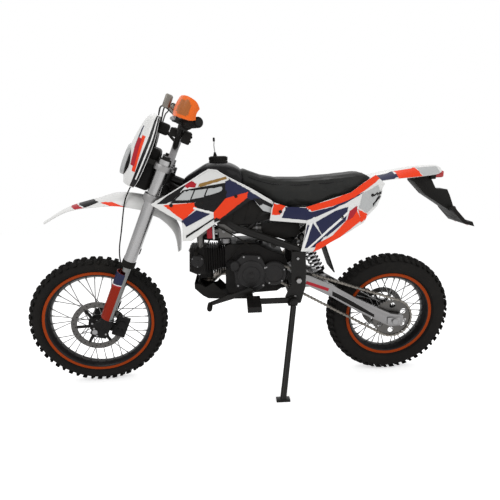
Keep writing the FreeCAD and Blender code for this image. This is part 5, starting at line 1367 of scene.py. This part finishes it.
# %% Tank
TANK_SQUARENESS = 0.62
TANK_ROWS = (
    # x, bottom, shoulder, crown, half width
    (393.0, 832.0, 838.0, 842.0, 5.0), (400.0, 808.0, 850.0, 878.0, 37.0),
    (450.0, 775.0, 878.0, 912.0, 64.0), (500.0, 756.0, 900.0, 937.0, 76.0),
    (560.0, 748.0, 898.0, 937.0, 78.0), (596.0, 752.0, 884.0, 927.0, 70.0),
    (626.0, 760.0, 868.0, 904.0, 60.0), (640.0, 800.0, 850.0, 866.0, 14.0),
)


def tank_spot(u, v):
    x, bottom, shoulder, crown, half = between(TANK_ROWS, u)
    half = max(half, 1.0)
    angle = math.tau * v - math.pi / 2
    side = math.cos(angle)
    lift = math.sin(angle)
    y = half * math.copysign(abs(side) ** TANK_SQUARENESS, side)
    z = shoulder + (crown - shoulder) * lift if lift > 0 else shoulder + (shoulder - bottom) * lift
    return x, y, z


tank = clean(sheet_of(40, 48, tank_spot, (500, 0, 840)), 0.0002)
settle(tank, "tank_shell", "black_gloss", "tank_black", "chassis", "fuel_tank", angle=60)

# %% Cap and breather
CAP_RIBS = 24
cap_body = turned_at(((0, 0), (0, 37), (7, 37.4), (9, 35.4), (22, 34), (25.5, 31), (26, 27), (24.6, 24),
                      (24.6, 0)), (536, 0, 934), UP, 48)
rib = box((33.5, 37.2), (-1.8, 1.8), (944, 957), 0.001, 1)
cap_middle = Matrix.Translation((0.536, 0, 0))
ribs = repeated(rib, [cap_middle @ Matrix.Rotation(math.tau * n / CAP_RIBS, 4, "Z") for n in range(CAP_RIBS)])
neck = turned_at(((0, 0), (0, 8), (6, 7.4), (14, 4.6), (18, 4.4), (18, 0)), (524, 0, 957), UP, 20)
settle(joined([cap_body, ribs, neck]), "tank_cap", "black_plastic", "black_plastic", "chassis", "fuel_cap")
hose = wire(((524, 0, 970), (523, 0, 985), (521, 0, 1000), (523, 0, 1018), (522, 0, 1026)), 0.0022)
settle(hose, "breather_hose", "pale_grey", "cable_black", "chassis")
valve = turned_at(((0, 0), (0, 3), (2, 4.2), (12, 4.2), (15, 3), (15, 0)), (522, 0, 1016), UP, 16)
settle(valve, "breather_valve", "black_plastic", "black_plastic", "chassis")

# %% [markdown]
# ## Seat
# The saddle is foam under a tight vinyl cover. The CAD solid is remeshed into small even
# faces, shrunk a little and blown up by Blender's cloth with pressure, capped so it never
# leaves its place. That gives soft crowned edges that no bevel gives. A thin bead laid on the
# cushion makes the welt, and the cover's cell grain gives the dimples that grip the rider.

# %% Seat pad with cloth pressure
def puffed(pad, pressure, cap, frames=20):
    """Cloth pressure on a closed pad, each point moved no further than the cap."""
    before = [vertex.co.copy() for vertex in pad.data.vertices]
    only(pad)
    cloth = pad.modifiers.new("Cloth", "CLOTH")
    cloth.settings.quality = 5
    cloth.settings.use_pressure = True
    cloth.settings.uniform_pressure_force = pressure
    cloth.settings.effector_weights.gravity = 0.0
    cloth.collision_settings.use_collision = False
    cloth.point_cache.frame_start = 1
    cloth.point_cache.frame_end = frames
    for number in range(1, frames + 1):
        bpy.context.scene.frame_set(number)
    blown = pad.evaluated_get(bpy.context.evaluated_depsgraph_get()).data
    after = [vertex.co.copy() for vertex in blown.vertices]
    pad.modifiers.remove(cloth)
    bpy.context.scene.frame_set(1)
    for vertex, old, new in zip(pad.data.vertices, before, after):
        step = new - old
        if step.length > cap:
            step *= cap / step.length
        vertex.co = old + step


pad = node_copy("seat")
clean(pad, 0.0001)
apply_modifier(pad, "REMESH", mode="VOXEL", voxel_size=0.0055)
apply_modifier(pad, "SMOOTH", factor=0.6, iterations=6)
apply_modifier(pad, "DISPLACE", strength=-0.003, mid_level=0.0)
puffed(pad, 4.0, 0.007)
apply_modifier(pad, "SMOOTH", factor=0.5, iterations=4)
apply_modifier(pad, "SUBSURF", levels=1, render_levels=1)
settle(pad, "seat_cushion", "seat_vinyl", "seat_cover", "chassis", "seat", angle=80, parked=True)

# %% Welt along the seat
SEAT_SIDE_TOP = ((606, 900), (650, 880), (700, 860), (760, 847), (860, 844), (1000, 853),
                 (1110, 866), (1128, 862))
for side in (-1, 1):
    route = []
    for x, z in SEAT_SIDE_TOP:
        spot = CHASSIS @ (Vector((x, side * 220, z)) * MM)
        way = CHASSIS.to_3x3() @ Vector((0, -side, 0))
        hit, where, normal, index = pad.ray_cast(spot, way)
        if hit:
            route.append((CHASSIS.inverted() @ (where + normal * 0.0004)) / MM)
    side_name = "left" if side < 0 else "right"
    settle(wire(route, 0.0017), "seat_welt_" + side_name, "black_gloss", "seat_cover", "chassis")

# %% [markdown]
# ## Side panels
# Behind the shrouds the number panels sweep up to the tail. They are made the same way as
# the shrouds, with an orange-red band under the seat, navy fields, a pale wedge and an
# orange-red lower lobe.

# %% Side panels
SIDE_COLUMNS = (
    # lower x and z, upper x and z, from the front to the back
    (729, 714, 737, 760), (736, 713, 748, 783), (800, 707, 800, 765), (872, 700, 866, 762),
    (862, 645, 885, 767), (849, 590, 905, 773), (880, 588, 925, 779), (908, 588, 945, 785),
    (967, 623, 990, 798), (1043, 661, 1043, 813), (1098, 694, 1075, 835), (1109, 715, 1098, 851),
    (1152, 756, 1141, 877), (1167, 791, 1163, 858), (1166, 816, 1181, 843),
)
SIDE_PLAN = (
    # height, then x and distance out along it
    580, ((690, 104), (800, 114), (900, 118), (1000, 116), (1100, 106), (1200, 92)),
    880, ((690, 84), (800, 94), (900, 98), (1000, 97), (1100, 90), (1200, 80)),
)
side_panel = sheet_of(70, 18, panel_spot(SIDE_COLUMNS, SIDE_PLAN, 4.0), (950, 0, 730))
settle(both_sides(walled(side_panel, 0.003)), "number_panels", "white_plastic", "white_plastic", "chassis",
       "side_panels")

# %% Stickers and screws of the side panels
SIDE_STICKERS = (
    ("red_orange", ((738, 736), (748, 780), (788, 768), (770, 738))),
    ("navy", ((776, 724), (792, 766), (866, 760), (890, 744), (906, 724), (872, 712))),
    ("navy", ((890, 744), (975, 762), (985, 756), (906, 724))),
    ("navy", ((972, 762), (1106, 818), (1040, 782), (984, 756))),
    ("red_orange", ((868, 763), (960, 787), (970, 764), (892, 746))),
    ("red_orange", ((960, 787), (1043, 813), (1055, 793), (970, 764))),
    ("red_orange", ((1043, 813), (1098, 850), (1113, 829), (1055, 793))),
    ("red_orange", ((1098, 850), (1141, 877), (1157, 861), (1113, 829))),
    ("navy", ((856, 602), (874, 694), (896, 700), (938, 640), (906, 606))),
    ("navy", ((906, 704), (984, 746), (1034, 760), (1024, 706), (958, 652), (938, 640))),
    ("white_line", ((850, 592), (884, 700), (894, 700), (860, 592))),
    ("white_line", ((862, 592), (872, 592), (965, 674), (958, 680))),
    ("white_line", ((958, 680), (965, 674), (1046, 742), (1040, 748))),
    ("red_orange", ((900, 589), (910, 618), (972, 648), (1006, 643), (940, 606))),
    ("red_orange", ((972, 648), (1066, 748), (1088, 704), (1006, 643))),
    ("dark_red", ((1030, 706), (1040, 748), (1066, 758), (1072, 746), (1052, 716))),
    ("red_orange", ((1086, 700), (1074, 748), (1110, 728), (1104, 708))),
    ("pale_grey", ((1078, 754), (1092, 808), (1152, 838), (1160, 812), (1146, 762), (1112, 732))),
    ("black_gloss", ((1136, 804), (1158, 810), (1158, 803), (1138, 797))),
    ("black_gloss", ((1134, 768), (1150, 788), (1154, 784), (1140, 766))),
)
stickers(side_panel, "panel_graphic", SIDE_STICKERS, "chassis")
screws = screws_on(SIDE_PLAN, ((770, 748), (1010, 720), (1130, 800)),
                   ((0, 0), (0, 6.5), (2.2, 6), (3.2, 4.4), (3.2, 3), (2.0, 2.4), (2.0, 0)), LEFT, 3.2)
settle(screws, "panel_screws", "black_paint", "axle_steel", "chassis")
discard(side_panel)

# %% [markdown]
# ## Rear mudguard, lamp and plate holder
# The tail is a long white arch with a navy, an orange-red and a pale grey band. It ends in a
# red lamp, and a black arm carries a blank plate holder with two round reflectors.

# %% Rear mudguard
REAR_MUDGUARD = (
    # x, up, slope in degrees, half width, depth of the side
    (1096.0, 862.0, 4.0, 72.0, 20.0), (1200.0, 884.0, 6.0, 76.0, 27.0),
    (1300.0, 899.0, 5.0, 70.0, 36.0), (1395.0, 905.0, 1.0, 58.0, 34.0),
    (1425.0, 900.0, -8.0, 44.0, 20.0),
)
tail = sheet_of(48, 24, lambda u, v: arch_spot(REAR_MUDGUARD, u, v, 30.0), (1280, 0, 800))
settle(walled(tail, 0.0032), "rear_mudguard", "white_plastic", "white_plastic", "chassis", "rear_fender")
TAIL_BANDS = (
    ("navy", ((1146, 852), (1146, 866), (1226, 884), (1238, 866), (1190, 852))),
    ("red_orange", ((1240, 860), (1230, 885), (1318, 897), (1334, 866), (1290, 858))),
    ("pale_grey", ((1336, 866), (1322, 897), (1404, 900), (1412, 868))),
)
stickers(tail, "tail_band", TAIL_BANDS, "chassis", two_sided=False)
discard(tail)

# %% Tail lamp
lens_box = box((1396, 1438), (-37, 37), (855, 883), 0.008, 4)
apply_modifier(lens_box, "SUBSURF", levels=1, render_levels=1)
settle(lens_box, "tail_lens", "red_lens", "red_lens", "chassis", "tail_lamp")
lamp_base = box((1382, 1404), (-41, 41), (850, 888), 0.004, 3)
settle(lamp_base, "tail_lamp_base", "black_plastic", "black_plastic", "chassis")
ribs = [box((1437.4, 1439), (y - 1.2, y + 1.2), (859, 879), 0.0005, 1) for y in range(-28, 29, 8)]
settle(joined(ribs), "tail_lens_ribs", "red_lens", "red_lens", "chassis")


# %% Plate holder and reflectors
def softened(node_name, width, finish_name, slot, body):
    """Merged copy of a CAD node whose hard edges get a small bevel; it stands for the node."""
    thing = node_copy(node_name)
    edit_all(thing, ("remove_doubles", dict(threshold=0.00002)),
             ("dissolve_limited", dict(angle_limit=math.radians(1.0))))
    bevelled(thing, width, 2, 35)
    settle(thing, node_name + "_eased", finish_name, slot, body, node_name, parked=True)


softened("plate_holder", 0.0018, "black_plastic", "black_plastic", "chassis")
reflectors = [turned_at(((0, 0), (0, 15), (4, 15), (6, 12), (6.5, 0)), (1540, y, 668), (0.68, 0, 0.73), 28)
              for y in (-44, 44)]
settle(joined(reflectors), "tail_reflectors", "red_lens", "red_lens", "chassis")

# %% [markdown]
# ## Castings with eased edges
# Castings and machined plates never have knife edges: light catches a small radius. A merged
# copy of each of these CAD nodes gets a bevel of one to three millimetres and stands for it.

# %% Eased castings and plates
EASED = (
    # node, bevel in metres, finish, slot, body
    ("crankcase", 0.0030, "cast_black", "engine_black", "chassis"),
    ("engine_covers", 0.0022, "cover_black", "engine_black", "chassis"),
    ("skid_plate", 0.0010, "black_plastic", "black_plastic", "chassis"),
    ("swingarm", 0.0020, "arm_silver", "swingarm_silver", "chassis"),
    ("side_stand", 0.0012, "black_paint", "stand_black", "stand"),
    ("foot_levers", 0.0012, "black_paint", "lever_black", "chassis"),
    ("foot_pegs", 0.0012, "black_paint", "frame_paint", "chassis"),
    ("airbox", 0.0030, "black_plastic", "black_plastic", "chassis"),
    ("rear_caliper", 0.0020, "cast_black", "caliper_black", "chassis"),
    ("triple_clamps", 0.0018, "clamp_alloy", "clamp_alloy", "fork"),
    ("headlamp", 0.0016, "black_plastic", "black_plastic", "fork"),
)
for node_name, width, finish_name, slot, body in EASED:
    softened(node_name, width, finish_name, slot, body)

# %% [markdown]
# ## Engine details
# The horizontal engine is the busiest part of the machine. Thin fins go between the CAD ones,
# a cam cap with three bolts sits on the head, the left cover gets its round alternator
# dome, rim bolts and a timing plug, and the clutch side gets bolts and an oil cap.

# %% Bolt helpers and fins
def bolt_at(spot, way, radius=4.2, high=4.0):
    """Six-sided bolt head with a small bevel."""
    section = ((0, 0), (0, radius), (high - 0.8, radius), (high, radius * 0.8), (high, 0))
    return turned_at(section, spot, way, 6)


def bolt_ring(centre, ring, turns, way, radius):
    """Bolt heads round a centre in a side view, at turns in radians."""
    x, y, z = centre
    return [bolt_at((x + ring * math.cos(turn), y, z + ring * math.sin(turn)), way, radius) for turn in turns]


FINS, FIN_START, FIN_STEP, FIN_THICK = 16, 472.5, 4.75, 2.0
FIN_REACH = (56.0, 52.0)
CYLINDER_UP = 545
fins = []
for index in range(FINS):
    x = FIN_START + FIN_STEP * index
    out = FIN_REACH[index % 2]
    fins.append(box((x, x + FIN_THICK), (-out, out), (CYLINDER_UP - out, CYLINDER_UP + out), 0.0009, 1))
settle(joined(fins), "cylinder_fins", "cast_black", "engine_black", "chassis")
head_fins = [box((x, x + 2.4), (-50, 50), (498, 604), 0.001, 1) for x in (414, 424, 434, 444, 454, 464)]
settle(joined(head_fins), "head_fins", "cast_black", "engine_black", "chassis")

# %% Cam cap and head nuts
cam_cap = turned_at(((0, 0), (0, 27), (3, 27), (4, 25), (9, 24), (12, 20), (12.5, 8), (14, 7), (14, 0)),
                    (436, -56, 548), LEFT, 40)
cap_bolts = bolt_ring((436, -63, 548), 21, (0.5, 2.6, 4.7), LEFT, 3.4)
settle(cam_cap, "cam_cap", "cover_black", "engine_black", "chassis")
head_nuts = [bolt_at((406, y, z), (-1, 0, 0.02), 5.5, 6) for y in (-34, 34) for z in (512, 588)]
settle(joined(cap_bolts + head_nuts), "head_nuts", "zinc_steel", "axle_steel", "chassis")

# %% Side covers and their bolts
dome = turned_at(((0, 0), (0, 56), (3, 56), (5, 54), (8, 48), (9, 36), (12, 34), (13, 20), (13.6, 0)),
                 (652, -95, 496), LEFT, 56)
ring = turned_at(((0, 36), (0, 47), (2, 48), (4, 47), (4, 37)), (746, -89, 494), LEFT, 48)
plug = turned_at(((0, 0), (0, 13), (3, 13), (3.4, 11), (2.2, 9), (2.2, 0)), (652, -108, 496), LEFT, 20)
settle(joined([dome, ring, plug]), "alternator_dome", "cover_black", "engine_black", "chassis")
left_spots = ((598, 448), (590, 534), (624, 568), (684, 562), (708, 520), (700, 446), (660, 420))
right_spots = ((610, 440), (602, 534), (644, 572), (716, 564), (760, 518), (752, 446), (698, 420))
cover_bolts = [bolt_at((x, -89.5, z), LEFT) for x, z in left_spots]
cover_bolts += bolt_ring((746, -92.5, 494), 43, (0.4, 2.4, 4.2, 5.5), LEFT, 3.6)
cover_bolts += [bolt_at((x, 105.5, z), RIGHT) for x, z in right_spots]
cover_bolts += bolt_ring((690, 113.5, 500), 44, (0.3, 1.6, 2.9, 4.1, 5.3), RIGHT, 3.8)
settle(joined(cover_bolts), "engine_cover_bolts", "zinc_steel", "axle_steel", "chassis")
clutch = turned_at(((0, 0), (0, 49), (2, 48), (6, 40), (7, 24), (10, 22), (10.4, 0)),
                   (690, 113.5, 500), RIGHT, 48)
oil_cap = turned_at(((0, 0), (0, 13), (6, 13), (8, 11), (8, 5), (13, 4.6), (13, 0)),
                    (742, 105, 548), (0, 1, 0.2), 18)
settle(joined([clutch, oil_cap]), "clutch_dome", "cover_black", "engine_black", "chassis")

# %% Starter motor and top cover
starter = turned_at(((0, 0), (0, 19), (3, 21), (52, 21), (56, 18), (58, 12), (58, 0)), (566, -54, 528),
                    (0.1, -0.2, 0.02), 32)
settle(starter, "starter_motor", "cover_black", "engine_black", "chassis")
top_box = box((596, 672), (-40, 60), (606, 622), 0.004, 3)
breather = turned_at(((0, 0), (0, 9), (10, 9), (12, 7), (22, 7), (22, 0)), (700, 20, 596), (0.2, 0, 1), 20)
settle(joined([top_box, breather]), "crankcase_top_cover", "cover_black", "engine_black", "chassis")

# %% [markdown]
# ## Carburettor, leads and hoses
# Small bright fittings and black leads fill the space between engine and tank. They are
# spun pieces and smooth round bars, each tucked against what carries it.

# %% Carburettor fittings
bowl = turned_at(((0, 0), (0, 15), (4, 19), (22, 20), (24, 18), (24, 0)), (555, -41, 615), UP, 32)
slide_top = turned_at(((0, 0), (0, 15), (16, 15), (18, 12), (26, 10), (27, 0)), (555, -41, 698), UP, 28)
bell = turned_at(((0, 17), (0, 21), (4, 22.5), (10, 22.5), (12, 20), (12, 17)), (584, -40, 674), BACK, 32)
knob = turned_at(((0, 0), (0, 7), (8, 7), (9, 5), (9, 0)), (548, -66, 672), LEFT, 12)
bell_clip = turned_at(((0, 20), (0, 22.4), (7, 22.4), (7, 20)), (676, -40, 674), BACK, 32)
settle(joined([bowl, slide_top, bell, knob, bell_clip]), "carburettor_fittings", "carb_alloy",
       "carb_alloy", "chassis")

# %% Coil, leads, hoses and plug cap
coil = box((480, 502), (-60, -40), (640, 690), 0.004, 3)
settle(coil, "ignition_coil", "dark_red", "red_plastic", "chassis")
coil_bracket = box((503, 511), (-61, -42), (636, 692), 0.002)
settle(coil_bracket, "coil_bracket", "white_line", "white_plastic", "chassis")
leads = [
    wire(((491, -50, 642), (486, -58, 622), (462, -66, 606), (438, -66, 590), (430, -62, 566)), 0.0032),
    wire(((560, -30, 752), (566, -62, 728), (572, -68, 704), (560, -62, 690)), 0.0032),
    wire(((360, -46, 820), (420, -70, 760), (500, -78, 706), (600, -84, 650), (660, -84, 604)), 0.0028),
    wire(((700, 20, 614), (712, 10, 640), (724, -10, 660), (736, -30, 668)), 0.0045),
    wire(((566, -66, 552), (590, -72, 590), (640, -80, 628), (700, -86, 640)), 0.0026),
]
settle(joined(leads), "leads_and_hoses", "rubber_black", "cable_black", "chassis")
plug_cap = turned_at(((0, 0), (0, 7), (4, 8), (20, 8), (24, 6), (26, 0)), (430, -58, 570),
                     (0.1, -0.2, 0.4), 18)
settle(plug_cap, "spark_plug_cap", "rubber_black", "cable_black", "chassis")

# %% [markdown]
# ## Exhaust
# The header leaves the head, runs down the right side and rises into an alloy silencer. The
# can gets a rolled front cone, three bands, rivets and an outlet with a dark bore, and the
# pipe gets its flange ring, a clip and a heat shield.

# %% Silencer
can_base = Vector((926, 160, 628))
can_tip = Vector((1180, 160, 776))
can_way = (can_tip - can_base).normalized()
can_length = (can_tip - can_base).length
can = turned_at(((0, 17), (0, 22), (22, 41), (28, 44), (can_length - 10, 44), (can_length - 8, 45),
                 (can_length, 43), (can_length + 4, 36), (can_length + 6, 17)), can_base, can_way, 56)
settle(can, "silencer_can_rolled", "silencer_alloy", "silencer_alloy", "chassis", "silencer")
bands = [turned_at(((0, 43.8), (0, 45.4), (2, 46), (12, 46), (14, 45.4), (14, 43.8)), can_base + can_way * at,
                   can_way, 56) for at in (34, 168, can_length - 26)]
outlet = turned_at(((0, 13), (0, 16), (30, 16), (31, 14.5), (31, 13)), can_tip, can_way, 32)
bracket = box((1062, 1088), (62, 120), (701, 713), 0.002)
RIVETS = 12
rivets = []
for at in (41, can_length - 19):
    for index in range(RIVETS):
        turn = math.tau * index / RIVETS
        out = Vector((-can_way.z * math.cos(turn), math.sin(turn), can_way.x * math.cos(turn)))
        rivets.append(turned_at(((0, 0), (0, 3), (1.2, 2.4), (1.6, 0)),
                                can_base + can_way * at + out * 45.8, out, 8))
settle(joined(bands + [outlet, bracket] + rivets), "silencer_bands", "zinc_steel",
       "silencer_alloy", "chassis")
bore = turned_at(((0, 0), (0, 12.9), (30, 12.9), (30, 0)), can_tip, can_way, 28)
settle(bore, "silencer_bore", "black_gloss", "silencer_alloy", "chassis")

# %% Header fittings
flange = turned_at(((0, 16.5), (0, 27), (6, 27), (7, 25), (7, 16.5)), (476, 0, 459), (0, 0.08, -1), 32)
clip = turned_at(((0, 16), (0, 18.5), (12, 18.5), (12, 16)), (905, 157, 603), (0.66, 0.08, 0.76), 32)
shield = box((620, 730), (152, 157), (422, 452), 0.0024, 3)
settle(joined([flange, clip, shield]), "exhaust_fittings", "exhaust_steel", "exhaust_steel", "chassis")

# %% [markdown]
# ## Swingarm, chain adjusters and shock
# Each arm ends in an axle block with an adjuster bolt and a stamped plate. Down its side runs a
# dark panel that is painted shade, edged by two raised bright bars that are painted highlights.
# The shock is a damper body inside a coil spring: the coil is a smooth helix given a round section.

# %% Axle blocks and adjusters
def tipped(thing, x, z, degrees):
    """Turn a piece about the line across the machine at x and z."""
    back, there = Matrix.Translation((-x * MM, 0, -z * MM)), Matrix.Translation((x * MM, 0, z * MM))
    thing.data.transform(there @ Matrix.Rotation(math.radians(degrees), 4, "Y") @ back)
    return thing


ARM_OUT = 97
fittings = []
for side in (-1, 1):
    y = side * ARM_OUT
    fittings.append(box((1222, 1276), (min(y, y + side * 4), max(y, y + side * 4)), (252, 284), 0.002))
    adjuster = ((0, 0), (0, 4), (26, 4), (26, 7), (32, 7), (32, 0))
    fittings.append(turned_at(adjuster, (1272, side * 87, 268), BACK, 6))
    axle_nut = ((0, 0), (0, 14), (9, 14), (11, 12), (11, 0))
    fittings.append(turned_at(axle_nut, (1252.6, side * 101, 268), (0, side, 0), 6))
    fittings.append(bolt_at((842, side * 118.5, 470), (0, side, 0), 11, 7))
settle(joined(fittings), "axle_blocks", "zinc_steel", "axle_steel", "chassis")

# %% Band, painted shade, painted highlights and chain slider on the arms
arm_sticker = box((872, 972), (-97.9, -97.2), (430, 443), 0.0002, 1)
settle(tipped(arm_sticker, 919, 438, 21), "swingarm_red_band", "dark_red", "red_plastic", "chassis")
PAINTED_SHADE_ROWS = (
    # x, bottom and top of the painted shade down the side of each arm
    (984, 391, 412), (1040, 358, 381), (1100, 322, 343), (1165, 286, 300),
)


def painted_shade_spot(u, v):
    x, low, high = straight(PAINTED_SHADE_ROWS, u)
    return x, -(ARM_OUT + 0.1), low + (high - low) * v


# Thin dark sheet down the side of each arm: painted shade on the arm's side face
painted_shade_sheet = sheet_of(13, 3, painted_shade_spot, (1070, 0, 350))
painted_shade = walled(painted_shade_sheet, 0.0005, 0.0001)
settle(both_sides(painted_shade), "swingarm_painted_shade", "cast_black", "black_plastic", "chassis")
discard(painted_shade_sheet)
# Raised bars along both edges of the painted shade, in a brighter silver than the arm: painted highlights
upper_highlight_line = [(x, -97.4, high + 1) for x, low, high in PAINTED_SHADE_ROWS]
lower_highlight_line = [(x, -97.4, low - 1) for x, low, high in PAINTED_SHADE_ROWS]
highlight_ridges = [wire(upper_highlight_line, 0.0013, 2), wire(lower_highlight_line, 0.0013, 2)]
settle(both_sides(joined(highlight_ridges)), "swingarm_highlight_ridges", "fork_silver", "axle_steel", "chassis")
slider = box((838, 900), (-99, -74), (486, 492), 0.002)
settle(tipped(slider, 870, 489, 12), "chain_slider", "black_plastic", "black_plastic", "chassis")

# %% Shock absorber
shock_top = Vector((868, 0, 625))
shock_low = Vector((957.6, 0, 454))
shock_way = (shock_low - shock_top).normalized()
shock_length = (shock_low - shock_top).length
damper = turned_at(((0, 0), (0, 11), (14, 12), (15, 27), (21, 27), (22, 16), (70, 16), (72, 9),
                    (shock_length - 26, 8), (shock_length - 25, 26), (shock_length - 19, 26),
                    (shock_length - 12, 14), (shock_length, 12), (shock_length, 0)), shock_top, shock_way, 36)
eyes = [turned_at(((-15, 0), (-15, 15), (15, 15), (15, 0)), spot, RIGHT, 28)
        for spot in (shock_top, shock_low)]
settle(joined([damper] + eyes), "damper_body", "black_paint", "frame_paint", "chassis", "shock_absorber")
COIL_TURNS, TURN_POINTS = 8, 10
COIL_START, COIL_R, COIL_ENDS = 24.5, 23.6, 53
coil_points = COIL_TURNS * TURN_POINTS
coil_long = shock_length - COIL_ENDS
helix = []
for step in range(coil_points + 1):
    angle = math.tau * step / TURN_POINTS
    side = Vector((-shock_way.z, 0, shock_way.x)) * math.cos(angle) + Vector(RIGHT) * math.sin(angle)
    helix.append(shock_top + shock_way * (COIL_START + coil_long * step / coil_points) + side * COIL_R)
settle(wire(helix, 0.0046, 2), "coil_spring", "spring_silver", "shock_red", "chassis")

# %% [markdown]
# ## Stand and footrests
# The side stand turns on a bolt through its bracket. The footrests are toothed, so the
# rider's boots don't slip, and the shift lever carries a ribbed rubber.

# %% Footrest teeth
teeth = []
for side in (-1, 1):
    for index in range(9):
        y = side * (142 + 11 * index)
        for x in (631, 681):
            teeth.append(box((x - 1.6, x + 1.6), (y - 3.2, y + 3.2), (409, 415), 0.0008, 1))
settle(joined(teeth), "footrest_teeth", "black_paint", "frame_paint", "chassis")

# %% Shift lever rubber and bolts
rubber_section = [(0, 0), (0, 10)]
for index in range(7):
    rubber_section += [(3 + 6 * index, 10.8), (5.4 + 6 * index, 10.8), (6 + 6 * index, 9.4),
                       (8.4 + 6 * index, 9.4)]
rubber_section += [(46, 10), (46, 0)]
shift_rubber = turned_at(rubber_section, (482, -107, 376), LEFT, 24)
settle(shift_rubber, "shift_rubber", "rubber_black", "grip_rubber", "chassis")
stand_bolt = turned_at(((0, 0), (0, 10), (7, 10), (8, 8), (8, 0)), (820, -118, 382), RIGHT, 6)
settle(stand_bolt, "stand_bolt", "zinc_steel", "axle_steel", "chassis")
frame_bolts = [bolt_at((x, side * 111.2, z), (0, side, 0), 6, 6) for side in (-1, 1)
               for x, z in ((838, 560), (828, 400))]
frame_bolts += [bolt_at((535, side * 12.2, z), (0, side, 0), 6, 5) for side in (-1, 1) for z in (668, 625)]
settle(joined(frame_bolts), "frame_bolts", "zinc_steel", "axle_steel", "chassis")
